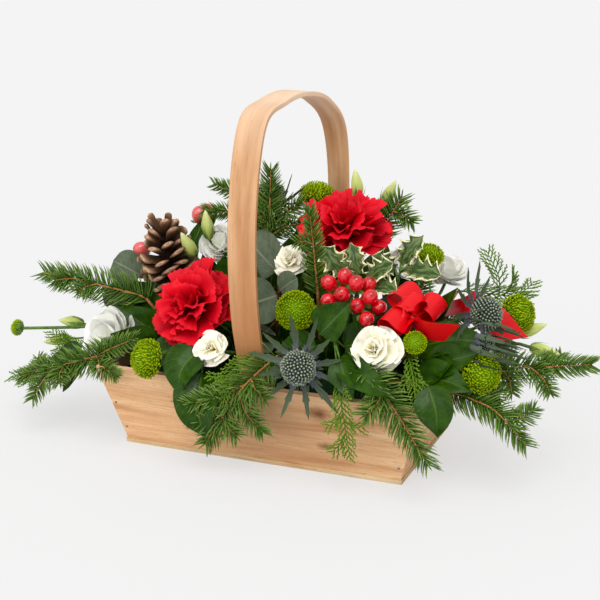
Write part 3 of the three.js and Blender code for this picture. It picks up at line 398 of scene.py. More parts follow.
# The red petals grow paler to their edge: partly their own colour, partly painted highlight.
petal_look("red_petal", [(0, rgb(146, 0, 20)), (0.45, rgb(204, 4, 30)), (0.85, rgb(226, 10, 38)),
                         (1, rgb(240, 38, 54))], (0.88, 0.8, 0.8, 1), 0.55)
petal_look("white_petal", [(0, rgb(226, 210, 116)), (0.4, rgb(248, 236, 184)),
                           (0.72, rgb(254, 249, 226)), (1, rgb(255, 253, 240))],
           (0.97, 0.96, 0.92, 1), 0.55, 0.94, 0.15)
petal_look("lisianthus_petal", [(0, rgb(206, 214, 140)), (0.25, rgb(250, 250, 236)),
                                (1, rgb(255, 255, 253))], (0.97, 0.97, 0.95, 1), 0.5, 0.95, 0.12)
petal_look("bud_petal", [(0, rgb(140, 166, 66)), (0.35, rgb(192, 206, 108)), (0.75, rgb(218, 226, 146)),
                         (1, rgb(234, 236, 178))], (0.86, 0.9, 0.74, 1), 0.5)
tipped_look("lime_petal", [(0, rgb(118, 152, 4)), (0.5, rgb(172, 204, 6)), (0.8, rgb(196, 222, 12)),
                           (1, rgb(210, 232, 34))], 0.5)
plain_look("lime_core", rgb(84, 122, 6), rgb(116, 156, 12), 0.7)
tipped_look("thistle_floret", [(0, rgb(60, 66, 70)), (0.45, rgb(104, 112, 118)),
                               (0.75, rgb(148, 162, 136)), (1, rgb(200, 214, 156))], 0.6)
plain_look("thistle_core", rgb(54, 62, 58), rgb(80, 90, 84), 0.7)
tipped_look("thistle_bract", [(0, rgb(132, 124, 158)), (0.14, rgb(108, 110, 122)),
                              (0.4, rgb(92, 106, 84)), (1, rgb(82, 100, 66))], 0.5)
tipped_look("cone_scale", [(0, rgb(56, 40, 30)), (0.4, rgb(104, 76, 56)), (0.7, rgb(160, 120, 92)),
                           (0.9, rgb(218, 180, 144)), (1, rgb(180, 140, 110))], 0.7, 0.8)
plain_look("cone_core", rgb(30, 18, 14), rgb(52, 32, 24), 0.8)
leaf_look("salal_leaf", rgb(34, 62, 0), rgb(78, 108, 30), rgb(54, 90, 4), 0.34, strength=0.12,
          Coat_Weight=0.16, Coat_Roughness=0.22)
leaf_look("eucalyptus_leaf", rgb(80, 92, 70), rgb(132, 140, 116), rgb(106, 118, 96), 0.5, veins=6.0,
          strength=0.16)
leaf_look("ruscus_leaf", rgb(48, 84, 14), rgb(104, 140, 46), rgb(70, 108, 26), 0.35)
tipped_look("fir_needle", [(0, rgb(58, 92, 30)), (0.5, rgb(98, 136, 50)), (1, rgb(154, 182, 94))], 0.45)
plain_look("fir_twig", rgb(130, 86, 46), rgb(192, 140, 82), 0.75, 900, 0.6)
tipped_look("cypress_scale", [(0, rgb(82, 118, 22)), (0.6, rgb(116, 158, 40)),
                              (1, rgb(160, 192, 76))], 0.5)
plain_look("stem_green", rgb(62, 96, 36), rgb(104, 136, 62), 0.5)
plain_look("calyx_green", rgb(80, 116, 50), rgb(126, 158, 84), 0.5)
plain_look("stem_red", rgb(104, 50, 44), rgb(146, 84, 70), 0.5)
plain_look("wire", rgb(60, 66, 50), rgb(84, 90, 70), 0.45, Metallic=0.6)


def berry_look(name, deep, skin, pale):
    look = Look(name, 0.18, Coat_Weight=1.0, Coat_Roughness=0.04, Specular_IOR_Level=0.3)
    mottle = look.noise(160, 3)
    tone = look.ramp(look.mark("along"), (0, pale), (0.2, skin), (0.85, skin), (1, deep))
    look.set("Base Color", look.mix(look.level(mottle, 0.5, 1.0), tone, deep))
    look.bump(mottle, 0.05)


berry_look("red_berry", rgb(150, 4, 20), rgb(216, 14, 34), rgb(214, 66, 58))
berry_look("coral_berry", rgb(206, 62, 70), rgb(226, 96, 92), rgb(234, 190, 150))

holly = Look("holly_leaf", 0.3, Coat_Weight=0.2, Coat_Roughness=0.2)
edge = holly.maths("ADD", holly.maths("ABSOLUTE", holly.mark("across")),
                   holly.maths("MULTIPLY", holly.maths("SUBTRACT", holly.fibres(9, 5, 3), 0.5), 0.7))
body = holly.mix(holly.level(holly.fibres(3, 4, 2), 0.42, 0.6), rgb(52, 76, 36), rgb(104, 122, 72))
holly.set("Base Color", holly.mix(holly.level(edge, 0.77, 0.85), body, rgb(236, 230, 180)))
holly.bump(holly.fibres(5, 9, 3), 0.3)

ribbon = Look("ribbon_satin", 0.3, Specular_IOR_Level=0.3)
threads = ribbon.fibres(3, 260, 1)
ribbon.set("Base Color", ribbon.mix(ribbon.level(threads, 0.3, 0.7), rgb(202, 6, 20), rgb(232, 20, 32)))
ribbon.bump(threads, 0.12, 0.0002)


# Parts of plants

def tube(form, line, radii, look, sides=7):
    """A round stalk along a line, its radius going through the given ones."""
    line = np.asarray(line, float)
    chord = line[-1] - line[0]
    hint = FRONT if abs(unit(chord) @ FRONT) < 0.8 else UP
    _, across, out = directions(line, hint)
    turn = np.arange(sides) * TAU / sides
    radius = np.interp(np.linspace(0, 1, len(line)), np.linspace(0, 1, len(radii)), radii)
    ring = np.cos(turn)[:, None] * across[:, None] + np.sin(turn)[:, None] * out[:, None]
    form.grid(line[:, None] + radius[:, None, None] * ring, look, wrap=True)


def lathe(form, place, axes, profile, look, sides, swell=None):
    """A turned form about the axis. swell(turn, share) makes it wave in and out."""
    profile = np.asarray(profile, float)
    turn = np.arange(sides) * TAU / sides
    share = np.linspace(0, 1, len(profile))
    radius = profile[:, :1] * (1 if swell is None else swell(turn[None], share[:, None]))
    local = np.stack([radius * np.cos(turn), radius * np.sin(turn),
                      np.broadcast_to(profile[:, 1:], (len(profile), sides))], -1)
    form.grid(place + local @ axes, look, wrap=True)


LEAF_ACROSS = np.linspace(-1, 1, 9)


def blade(form, line, facing, halves, look, cup, lift, thick=0.5):
    """A leaf along a line. Its edges are lifted by the cup, and by what lift gives for each point."""
    _, across, out = directions(line, facing)
    half = np.asarray(halves)[:, None]
    rise = cup * half * LEAF_ACROSS**2 + lift
    rows = (line[:, None] + across[:, None] * (half * LEAF_ACROSS)[..., None]
            + out[:, None] * rise[..., None])
    form.lens(rows, thick, look)


def petal(form, place, axes, turn, midline, halves, look, frill=0.0, waves=3.0, teeth=0.0,
          cup=0.1, corner=0.2, cols=11, thick=0.3, sway=0.0, roll=0.0):
    """A petal at a turn round the axis, over a midline of [radius, height] points."""
    radial = vec(math.cos(turn), math.sin(turn), 0)
    over = vec(-math.sin(turn), math.cos(turn), 0)
    run = midline[:, :1] * radial + midline[:, 1:] * UP
    length = length_of(run)
    t = np.linspace(0, 1, len(run))[:, None]
    run = run + over * (sway * length * t**2)
    along = unit(np.gradient(run, axis=0))
    inward = unit(np.cross(over, along))
    s = np.linspace(-1, 1, cols)[None]
    phase = rng.uniform(0, TAU, 2)
    wave = np.sin(waves * math.pi * s + phase[0]) + 0.5 * np.sin(2.3 * waves * math.pi * s + phase[1])
    rise = halves[:, None] * (cup * s**2 + roll * s) + frill * t**1.6 * wave
    tooth = teeth * (np.arange(cols) % 2)[None] * (t > 0.99)
    ahead = (tooth - corner * s**2 * t**3) * length
    rows = (run[:, None] + over * (halves[:, None] * s)[..., None]
            - inward[:, None] * rise[..., None] + along[:, None] * ahead[..., None])
    form.lens(place + rows @ axes, thick, look)


def bow_line(start, bend, end, count):
    """A quadratic curve of [radius, height] points."""
    t = np.linspace(0, 1, count)[:, None]
    return (1 - t) ** 2 * np.array(start) + 2 * t * (1 - t) * np.array(bend) + t**2 * np.array(end)


def dome_line(angles, wide, high, grow):
    """Points [radius, height] down an oval dome, by their angles from its top."""
    return np.stack([wide * np.sin(angles), high * np.cos(angles)], -1) * np.reshape(grow, (-1, 1))


def stem_line(entry, *points):
    """A stem's way: up out of the foam at shares of its half length and width, then on."""
    top = vec(entry[0] * FOAM_HALF[0], entry[1] * FOAM_HALF[1], 0)
    deep = vec(STEM_LEAN * top[0], STEM_LEAN * top[1], -STEM_DEPTH)
    return spline([deep, top, *points], STEM_POINTS)


def head_stem(entry, place, facing, neck, via=None):
    """A stem to the neck of a head: past the points between, or straight up behind the head."""
    collar = place - unit(facing) * neck
    return stem_line(entry, *(via or [collar - unit(facing) * neck]), collar)


def branch(form, stem, fork, place, facing, neck):
    """A thin stalk from a share of a stem to another head."""
    root = at(stem, fork)
    collar = place - unit(facing) * neck
    line = spline([root, lerp(root, collar, 0.5) + [0, 0, 2], collar], 9)
    tube(form, line, [STALK_RADIUS, STALK_RADIUS], "stem_green", 6)


# Flowers

# Rings of petals: how many, then radius, height and half width as shares of the head's size
CARNATION_RINGS = [(6, 0.55, -0.1, 0.33), (6, 0.5, 0.04, 0.33), (6, 0.4, 0.14, 0.31),
                   (5, 0.29, 0.21, 0.27), (4, 0.16, 0.25, 0.2)]
SPRAY_RINGS = [(5, 0.55, -0.03, 0.36), (5, 0.46, 0.08, 0.35), (4, 0.34, 0.16, 0.3),
               (4, 0.2, 0.22, 0.22), (3, 0.1, 0.25, 0.16), (2, 0.03, 0.26, 0.1)]
LISIANTHUS_RINGS = [(5, 0.6, 0.02, 0.4), (5, 0.52, 0.15, 0.38), (4, 0.36, 0.23, 0.34),
                    (3, 0.19, 0.26, 0.25)]
PETAL_POINTS = 12
CARNATION_CALYX = np.array([(0.02, -0.42), (0.09, -0.39), (0.11, -0.3), (0.12, -0.2), (0.14, -0.15)])
CARNATION_NECK = 0.39


def carnation_head(form, place, facing, size, rings, look, frill, teeth, corner, cols, roll):
    axes = axes_of(facing)
    lathe(form, place, axes, CARNATION_CALYX * size, "calyx_green", 15)
    t = np.linspace(0, 1, PETAL_POINTS)
    for count, radius, height, half in rings:
        offset = rng.uniform(0, TAU)
        for i in range(count):
            turn = offset + TAU * (i + rng.uniform(-0.25, 0.25)) / count
            reach = radius * rng.uniform(0.84, 1.06)
            top = height + rng.uniform(-0.06, 0.06)
            knee = lerp(-0.16, top, rng.uniform(0.6, 1.1))
            line = bow_line((0.03, -0.17), (0.34 * reach, knee), (reach, top), PETAL_POINTS) * size
            halves = half * size * rng.uniform(0.82, 1.1) * (0.12 + 0.88 * t**0.9)
            petal(form, place, axes, turn, line, halves, look, frill * size * rng.uniform(0.6, 1.2),
                  rng.uniform(1.0, 2.0), teeth, rng.uniform(-0.3, 0.45), corner, cols,
                  sway=rng.uniform(-0.15, 0.15), roll=roll + rng.uniform(-0.15, 0.15))


def carnation(entry, place, facing, size, *petals):
    form = Form()
    stem = head_stem(entry, place, facing, CARNATION_NECK * size)
    tube(form, stem, [STEM_RADIUS, STEM_RADIUS], "stem_green")
    carnation_head(form, place, facing, size, *petals)
    return form


LISIANTHUS_CALYX = np.array([(0.03, -0.42), (0.08, -0.38), (0.13, -0.32), (0.05, -0.26)])
LISIANTHUS_NECK = 0.38
LISIANTHUS_SEPAL = np.array([0.6, 1.3, 1.3, 1, 0.6, 0.1])
SEPALS = 5


def lisianthus_head(form, place, facing, size):
    axes = axes_of(facing)
    lathe(form, place, axes, LISIANTHUS_CALYX * size, "calyx_green", 10)
    t = np.linspace(0, 1, PETAL_POINTS)
    for count, radius, height, half in LISIANTHUS_RINGS:
        offset = rng.uniform(0, TAU)
        for i in range(count):
            turn = offset + TAU * (i + rng.uniform(-0.1, 0.1)) / count
            reach = radius * rng.uniform(0.94, 1.06)
            knee = (0.6 * reach + 0.06, -0.14)
            line = bow_line((0.04, -0.37), knee, (reach, height), PETAL_POINTS) * size
            halves = half * size * np.sin(math.pi * (0.08 + 0.6 * t)) ** 0.8
            petal(form, place, axes, turn, line, halves, "lisianthus_petal",
                  rng.uniform(0.01, 0.03) * size, rng.uniform(0.8, 1.4), 0, rng.uniform(0.2, 0.35),
                  0.22, 15, sway=rng.uniform(-0.08, 0.08), roll=0.26)
    for i in range(SEPALS):
        turn = TAU * i / SEPALS
        line = bow_line((0.06, -0.38), (0.2, -0.36), (0.3, -0.16), len(LISIANTHUS_SEPAL)) * size
        petal(form, place, axes, turn, line, LISIANTHUS_SEPAL, "calyx_green", cols=3)


BUD_PROFILE = np.array([(0.01, -0.5), (0.09, -0.46), (0.15, -0.36), (0.19, -0.2), (0.2, -0.05),
                        (0.17, 0.12), (0.12, 0.28), (0.07, 0.42), (0.015, 0.52)])
BUD_NECK = 0.45
BUD_SEPAL = np.array([0.5, 1.4, 1.5, 1.2, 0.7, 0.1])


def bud_head(form, place, facing, length):
    """A furled bud with five narrow sepals."""
    axes = axes_of(facing)
    furl = lambda turn, share: 1 + 0.1 * np.cos(3 * turn + 5 * share) * np.sin(math.pi * share)
    lathe(form, place, axes, BUD_PROFILE * length, "bud_petal", 24, furl)
    for i in range(SEPALS):
        turn = TAU * (i + 0.3) / SEPALS
        tip = rng.uniform(0.2, 0.34), rng.uniform(-0.1, 0.2)
        line = bow_line((0.06, -0.48), (0.26, -0.4), tip, len(BUD_SEPAL)) * length
        petal(form, place, axes, turn, line, BUD_SEPAL, "calyx_green", cols=3)


MUM_NECK = 0.23
MUM_CURL = np.array([0.82, 0.9, 0.97, 1.03, 1.07, 1.05])
MUM_PETAL = np.array([0.6, 0.85, 1.0, 1.0, 0.85, 0.3])
MUM_SEPALS = 9
MUM_SEPAL = np.array([0.05, 0.09, 0.09, 0.06, 0.01])
DOME_PACKING = 10


def mum_head(form, place, facing, size):
    """A tight dome of short petals that curl in to its top, on a spiral."""
    axes = axes_of(facing)
    dome = lambda angle, grow: size * dome_line(angle, 0.44, 0.34, grow)
    lathe(form, place, axes, dome(np.linspace(2.3, 0.02, 9), 0.86), "lime_core", 18)
    count = int(DOME_PACKING * size)
    for i in range(count):
        angle = math.acos(1 - (i + 0.5) / count * 1.36)
        low, high = angle + rng.uniform(0.14, 0.24), angle - rng.uniform(0.02, 0.1)
        grow = MUM_CURL * rng.uniform(0.96, 1.05)
        line = dome(np.linspace(low, max(high, 0.01), len(MUM_CURL)), grow)
        half = size * (0.014 + 0.017 * math.sin(min(angle, 1.5))) * rng.uniform(0.8, 1.15)
        turn = i * GOLDEN + rng.uniform(-0.08, 0.08)
        petal(form, place, axes, turn, line, half * MUM_PETAL, "lime_petal",
              cup=rng.uniform(0.3, 0.6), corner=0.25, cols=5, thick=0.5)
    for i in range(MUM_SEPALS):
        turn = TAU * i / MUM_SEPALS
        line = bow_line((0.08, -0.25), (0.4, -0.26), (0.46, -0.04), len(MUM_SEPAL)) * size
        petal(form, place, axes, turn, line, size * MUM_SEPAL, "calyx_green", cols=3)


THISTLE_NECK = 0.24
BRACTS = 12
BRACT_SPINES = 3
BRACT_HALF = 3.2
# The two layers of bracts: length and tilt as shares of the reach
BRACT_LAYERS = ((1.0, 0.14), (0.55, 0.5))
FLORET = np.array([0.03, 0.042, 0.034, 0.008])
FLORET_STATIONS = (0, 0.5, 0.8, 1)


def bract(form, line, out, half):
    """A narrow, pointed bract with spines that point forward along both of its edges."""
    t = np.linspace(0, 1, len(line))[:, None]
    spine = (1 - np.abs((BRACT_SPINES * t) % 1 - 0.5) * 2) ** 3
    s = np.linspace(-1, 1, 5)[None]
    along, across, up = directions(line, out)
    body = half * (0.45 + 1.1 * t) * (1.02 - t**1.8)
    width = body * (1 + 1.1 * spine * (1 - t) * np.abs(s) ** 2) * s
    ahead = 2.0 * half * spine * (1 - t) * s**2
    rows = (line[:, None] + across[:, None] * width[..., None] + along[:, None] * ahead[..., None]
            + up[:, None] * (0.4 * np.abs(width))[..., None])
    form.lens(rows, 0.7, "thistle_bract")


def thistle_head(form, place, facing, size, reach, start, end, sweep):
    """A cone of florets over a ring of spiny bracts, swept forward by a share of their reach."""
    axes = axes_of(facing)
    side, rise, out = axes
    dome = lambda angle, grow: size * (dome_line(angle, 0.46, 0.42, grow) + [0, 0.2])
    lathe(form, place, axes, dome(np.linspace(2.7, 0.02, 10), 0.93), "thistle_core", 18)
    florets = int(DOME_PACKING * size)
    for i in range(florets):
        angle = math.acos(1 - (i + 0.5) / florets * 1.75)
        turn = i * GOLDEN
        (r0, z0), (r1, z1) = dome(np.array([angle, angle]), [0.9, rng.uniform(1.16, 1.28)])
        ray = vec(math.cos(turn), math.sin(turn), 0)
        foot, tip = place + (ray * r0 + UP * z0) @ axes, place + (ray * r1 + UP * z1) @ axes
        line = [lerp(foot, tip, share) for share in FLORET_STATIONS]
        tube(form, line, FLORET * size, "thistle_floret", 5)
    root = place - out * THISTLE_NECK * size / 2
    bracts = max(2, round(BRACTS * (end - start) * reach / BRACT))
    for layer, (scale, tilt) in enumerate(BRACT_LAYERS):
        for i in range(bracts):
            step = i + 0.5 + 0.5 * layer + rng.uniform(-0.15, 0.15)
            turn = TAU * (start + (end - start) * step / bracts)
            ray = math.cos(turn) * side + math.sin(turn) * rise
            length = reach * scale * rng.uniform(0.85, 1.25)
            ahead = out * reach * (sweep + tilt * rng.uniform(0.3, 1.3))
            tip = root + ray * length * (1 - sweep / 2) + ahead
            bend = root + ray * length * 0.5 - out * reach * 0.05
            line = spline([root + ray * 0.3 * size, bend, tip], 8 * BRACT_SPINES + 1)
            bract(form, line, out, BRACT_HALF * scale * rng.uniform(0.8, 1.1))


CONE_SCALES = 60
CONE_CORE = np.array([(0.02, -0.5), (0.15, -0.46), (0.17, -0.2), (0.13, 0.15), (0.06, 0.36), (0.02, 0.42)])
# A scale's way out and up, as shares of its reach and climb
SCALE_WAY = ((0.12, 0), (0.5, 0.3), (0.85, 0.75), (1.02, 0.98))
SCALE_SIDES = 10
CONE_STATIONS = [0, 0.3, 0.6, 0.82, 0.93, 0.98, 1.0]
CONE_WIDE = 8.4 * np.array([0.35, 0.55, 0.9, 1.0, 0.82, 0.5, 0.2])
CONE_DEEP = np.array([0.9, 0.9, 1.1, 1.8, 2.3, 1.5, 0.5])


def pine_cone(entry, place, facing):
    """Open woody scales on a spiral round a core, on a wire pick."""
    form = Form()
    axes = axes_of(facing, FRONT)
    foot = place - axes[2] * 0.45 * CONE_LENGTH
    tube(form, stem_line(entry, foot), [WIRE_RADIUS, WIRE_RADIUS], "wire")
    lathe(form, place, axes, CONE_CORE * CONE_LENGTH, "cone_core", 14)
    turn = np.arange(SCALE_SIDES) * TAU / SCALE_SIDES
    for i in range(CONE_SCALES):
        share = (i + 0.5) / CONE_SCALES
        girth = math.sin(math.pi * (0.24 + 0.66 * share)) ** 0.8
        reach = CONE_WIDTH / 2 * girth * rng.uniform(0.9, 1.22)
        low = (0.8 * share - 0.46) * CONE_LENGTH
        climb = CONE_LENGTH * (lerp(0.02, 0.32, share**1.7) + rng.uniform(-0.03, 0.05))
        angle = i * GOLDEN + rng.uniform(-0.22, 0.22)
        ray = vec(math.cos(angle), math.sin(angle), 0)
        over = np.cross(UP, ray)
        run = spline([ray * reach * far + UP * (low + climb * up) for far, up in SCALE_WAY], 41)
        run = at(run, CONE_STATIONS)
        size = (0.5 + 0.5 * girth) * rng.uniform(0.8, 1.15)
        up = np.cross(unit(np.gradient(run, axis=0)), over)
        over = over + up * rng.uniform(-0.35, 0.35)
        rows = (run[:, None] + over[:, None] * (size * CONE_WIDE[:, None] * np.cos(turn))[..., None]
                + up[:, None] * (CONE_DEEP[:, None] * np.sin(turn))[..., None])
        form.grid(place + rows @ axes, "cone_scale", wrap=True)
    return form


BERRY_PROFILE = np.array([(0.05, -1.22), (0.46, -1.1), (0.8, -0.7), (0.98, -0.15), (0.97, 0.35),
                          (0.8, 0.82), (0.44, 1.16), (0.12, 1.28)])
BERRY_TIP = np.array([(0.5, -0.5), (0.4, 0.4), (0.1, 1.4)])
BERRY_SEPAL = np.array([0.1, 0.32, 0.4, 0.3, 0.04])


def berry_spray(entry, node, berries, look, leaves=()):
    """Glossy berries with leafy sepals on short stalks."""
    form = Form()
    spine = stem_line(entry, node)
    tube(form, spine, [TWIG_RADIUS, TWIG_RADIUS * 0.8], "stem_green")
    for i, place in enumerate(berries):
        root = at(spine, 1 - 0.14 * (i + 1) / len(berries))
        facing = unit(place - root) + [0, -0.3, 0.2]
        axes = axes_of(facing)
        stalk = spline([root, lerp(root, place, 0.55) - [0, 0, 1], place - axes[2] * BERRY * 0.9], 7)
        tube(form, stalk, [STALK_RADIUS, STALK_RADIUS], "stem_green", 6)
        lathe(form, place, axes, BERRY_PROFILE * BERRY, look, 20)
        lathe(form, place + axes[2] * BERRY * 1.1, axes, BERRY_TIP, "fir_twig", 6)
        for k in range(SEPALS):
            turn = TAU * k / SEPALS + i
            line = bow_line((0.3, -1.1), (1.0, -1.15), (1.35, -0.7), len(BERRY_SEPAL)) * BERRY
            petal(form, place, axes, turn, line, BERRY * BERRY_SEPAL, "calyx_green", cols=3)
    for leaf in leaves:
        broad_leaf(form, at(spine, 0.9), look="ruscus_leaf", **leaf)
    return form


# Leaves

LEAF_POINTS = 17
LEAF_TIP = 0.2


def stalk(form, root, base, radii, look):
    tube(form, spline([root, base], 5), radii, look, 6)


def ripple(high, waves, t):
    """How far the edges of a leaf wave up and down along it."""
    turn = waves * t[:, None] + 2 * LEAF_ACROSS + rng.uniform(0, TAU)
    return high * np.abs(LEAF_ACROSS) * np.sin(turn)


def broad_leaf(form, root, tip, width, facing, base=None, bend=(0, 0, 0), look="salal_leaf"):
    """A pointed leaf on a short stalk."""
    base = root if base is None else base
    if np.linalg.norm(base - root) > 1:
        stalk(form, root, base, [1.0, 0.8], "stem_green")
    line = spline([base, lerp(base, tip, 0.5) + bend, tip], LEAF_POINTS)
    t = np.linspace(0, 1, LEAF_POINTS)
    halves = LEAF_TIP + (width / 2 - LEAF_TIP) * np.sin(math.pi * t**0.64)
    lift = ripple(0.03 * width, 9, t) + 0.12 * halves[:, None] * np.abs(LEAF_ACROSS)
    blade(form, line, facing, halves, look, 0.3, lift)


def round_leaf(form, root, tip, width, facing, base):
    """A round, waxy leaf on a reddish stalk."""
    stalk(form, root, base, [0.9, 0.7], "stem_red")
    line = spline([base, lerp(base, tip, 0.5) + 2 * unit(facing), tip], LEAF_POINTS)
    t = np.linspace(0, 1, LEAF_POINTS)
    halves = LEAF_TIP + (width / 2 - LEAF_TIP) * np.sqrt(np.maximum(0, 1 - (2 * t - 1) ** 2)) ** 0.9
    blade(form, line, facing, halves, "eucalyptus_leaf", 0.12, ripple(0.02 * width, 5, t))


HOLLY_SPINES = 4


def holly_leaf(form, root, tip, width, facing, base):
    """A glossy leaf whose spiny edge waves up and down."""
    stalk(form, root, base, [1.1, 0.9], "stem_green")
    count = 6 * HOLLY_SPINES + 1
    line = spline([base, lerp(base, tip, 0.5) + 3 * unit(facing), tip], count)
    t = np.linspace(0, 1, count)
    saw = np.abs(((t * HOLLY_SPINES + 0.5) % 1) - 0.5) * 2
    full = width / 2 * np.sin(math.pi * (0.08 + 0.9 * t)) ** 0.6
    halves = LEAF_TIP + full * (0.58 + 0.42 * (1 - saw) ** 2.2) * np.clip((1 - t) * 6, 0.1, 1)
    wave = width * 0.16 * np.abs(LEAF_ACROSS) ** 3 * (1 - 2 * saw[:, None])
    wave = wave * np.sin(math.pi * (0.1 + 0.8 * t[:, None]))
    blade(form, line, facing, halves, "holly_leaf", 0.05, wave, 0.7)


def leaf_stem(entry, way, leaves, kind, look="stem_green"):
    """A stem with leaves, each from its share of the stem's way."""
    form = Form()
    spine = stem_line(entry, *way)
    tube(form, spine, [TWIG_RADIUS, 1.0], look)
    for share, leaf in leaves:
        kind(form, at(spine, share), **leaf)
    return form


# Conifers

NEEDLE_SPACING = 0.55
NEEDLE_STATIONS = np.array([0, 0.2, 0.75, 1.0])
NEEDLE_RADII = np.array([0.5, 0.82, 0.68, 0.1])
NEEDLE_CURVE = np.array([0, -0.02, 0.0, 0.07])
NEEDLE_SIDES = 3
SHOOT_SPACING = 2.8
SHOOTLET_SPACING = 2.4
SCALE_SPACING = 0.8


def needled(form, line, facing, reach, girth=1.2):
    """A twig with needles combed to its sides, fewer on top, shorter to its tip."""
    tube(form, line, girth * np.array([1.0, 0.75, 0.4]), "fir_twig", 6)
    count = int(length_of(line) / NEEDLE_SPACING)
    share = (np.arange(count) + rng.random(count)) / count
    along, across, out = (at(way, share) for way in directions(line, facing))
    turn = np.arange(count) * GOLDEN + rng.uniform(-0.3, 0.3, count)
    ray = unit(np.cos(turn)[:, None] * across + 0.26 * (np.sin(turn) - 0.1)[:, None] * out)
    lean = rng.uniform(0.5, 0.72, count) * lerp(1.0, 2.2, share**4)
    way = unit(ray + lean[:, None] * along)
    long = reach * rng.uniform(0.85, 1.08, count) * lerp(1.0, 0.6, share**2)
    long *= 0.72 + 0.3 * np.abs(np.cos(turn))
    side = unit(np.cross(way, rng.normal(size=(count, 3))))
    top = np.cross(side, way)
    corner = np.arange(NEEDLE_SIDES) * TAU / NEEDLE_SIDES
    centre = (at(line, share)[:, None] + way[:, None] * (NEEDLE_STATIONS[:, None] * long[:, None, None])
              + along[:, None] * (NEEDLE_CURVE[:, None] * long[:, None, None]))
    ring = np.cos(corner)[:, None] * side[:, None, None] + np.sin(corner)[:, None] * top[:, None, None]
    form.grid(centre[:, :, None] + NEEDLE_RADII[:, None, None] * ring, "fir_needle", wrap=True)


def feathered(form, line, facing, reach, girth=1.2):
    """A flat spray: side shoots left and right, each with its own, all of tiny scales."""
    along, across, _ = directions(line, facing)
    shoots = max(4, int(length_of(line) / SHOOT_SPACING))

    def scaled(run, width):
        count = max(4, int(length_of(run) / SCALE_SPACING))
        saw = width * np.where(np.arange(count) % 2, 0.62, 1.0) * np.linspace(1, 0.45, count)
        tube(form, even(np.asarray(run), count), saw, "cypress_scale", 4)

    scaled(line, girth)
    for i in range(shoots):
        share = 0.12 + 0.86 * (i + 0.5) / shoots
        root = at(line, share)
        k = int(share * (len(line) - 1))
        side = across[k] * (1 if i % 2 else -1)
        long = reach * 2.8 * math.sin(math.pi * (0.22 + 0.7 * share)) ** 0.7 * rng.uniform(0.8, 1.15)
        sag = np.cross(along[k], across[k]) * rng.uniform(-0.12, 0.12)
        tip = root + unit(along[k] * 1.1 + side * 0.75 + sag) * long
        run = spline([root, lerp(root, tip, 0.5) + side * long * 0.06, tip], 12)
        scaled(run, 0.85)
        twigs = max(2, int(long / SHOOTLET_SPACING))
        for j in range(twigs):
            part = 0.15 + 0.8 * (j + 0.5) / twigs
            foot = at(run, part)
            way = unit(run[-1] - run[0])
            spread = unit(np.cross(way, np.cross(along[k], across[k]))) * (1 if j % 2 else -1)
            twig = long * 0.36 * (1.05 - part * 0.75)
            scaled(np.array([foot, foot + unit(way * 1.3 + spread * 0.7) * twig]), 0.7)


def sprig(entry, way, twigs, facing, reach, dress):
    """A conifer sprig, bare at its foot, with side twigs from shares of its way to their tips."""
    form = Form()
    way = [vec(*point) for point in way]
    foot = stem_line(entry, way[0])
    tube(form, foot, [TWIG_RADIUS, TWIG_RADIUS], "fir_twig")
    spine = spline([at(foot, 0.96), *way], 40)
    dress(form, spine, facing, reach)
    for share, end in twigs:
        root, tip = at(spine, share), vec(*end)
        ahead = root + unit(at(spine, min(1, share + 0.03)) - root) * np.linalg.norm(tip - root) / 2
        middle = lerp(ahead, lerp(root, tip, 0.5), 0.8)
        dress(form, spline([root, middle, tip], 24), facing, 0.75 * reach, 0.9)
    return form


# Ribbon

KNOT = vec(134, -55, 62)
BOW_BELLY = 0.46
# A loop's way round, as shares of its reach and belly
BOW_ROLL = [(0.12, 0.75), (0.55, 1.0), (0.98, 0.45), (0.98, -0.45), (0.55, -1.0), (0.12, -0.75)]
KNOT_PROFILE = np.array([(0.5, -6), (3, -5), (4, -2), (4, 2), (3, 5), (0.5, 6)])
PLEATS = 3
GATHERED = 0.3
TAIL_SLANT = 0.6
RIBBON_COLUMNS = 13
LOOP_POINTS = 48
TAIL_POINTS = 36


def satin(form, line, across, gather, cut=0.0):
    """A ribbon of full width along a line, drawn into pleats where it is gathered, and its area."""
    along = unit(np.gradient(line, axis=0))
    side = unit(across - along * np.sum(along * across, axis=1, keepdims=True))
    out = np.cross(along, side)
    s = np.linspace(-1, 1, RIBBON_COLUMNS)
    share = gather[:, None]
    zigzag = np.abs(((s + 1) / 2 * PLEATS) % 1 - 0.5) * 2 - 0.5
    deep = RIBBON_WIDTH / (2 * PLEATS) * np.sqrt(1 - share**2)
    slant = cut * RIBBON_WIDTH / 2 * s * np.linspace(0, 1, len(line))[:, None] ** 4
    rows = (line[:, None] + side[:, None] * (s * share * RIBBON_WIDTH / 2)[..., None]
            + out[:, None] * (zigzag * deep)[..., None] + along[:, None] * slant[..., None])
    form.grid(rows, "ribbon_satin", 0.5)
    a, b, c, d = rows[:-1, :-1], rows[1:, :-1], rows[1:, 1:], rows[:-1, 1:]
    return np.linalg.norm(np.cross(c - a, d - b), axis=-1).sum() / 2


def ribbon_bow(loops, tails):
    """Loops, rolled out from their heels by the knot, and tails of one ribbon, and its flat length."""
    form = Form()
    area = 0.0
    for heel, reach, across in loops:
        side = unit(np.cross(reach, across))
        belly = BOW_BELLY * np.linalg.norm(reach)
        roll = [KNOT + heel + reach * far + side * lift * belly for far, lift in BOW_ROLL]
        line = spline([KNOT, *roll, KNOT], LOOP_POINTS)
        open_share = np.sin(math.pi * np.linspace(0, 1, LOOP_POINTS)) * 2.4
        gather = lerp(GATHERED, 1.0, np.clip(open_share, 0, 1))
        area += satin(form, line, unit(across), gather)
    for way, across in tails:
        line = spline([KNOT, *way], TAIL_POINTS)
        open_share = np.linspace(0, 1, TAIL_POINTS) * 3.5
        gather = np.clip(lerp(GATHERED, 1.0, open_share), GATHERED, 1)
        area += satin(form, line, unit(across), gather, TAIL_SLANT)
    return form, area / RIBBON_WIDTH


# Arrangement

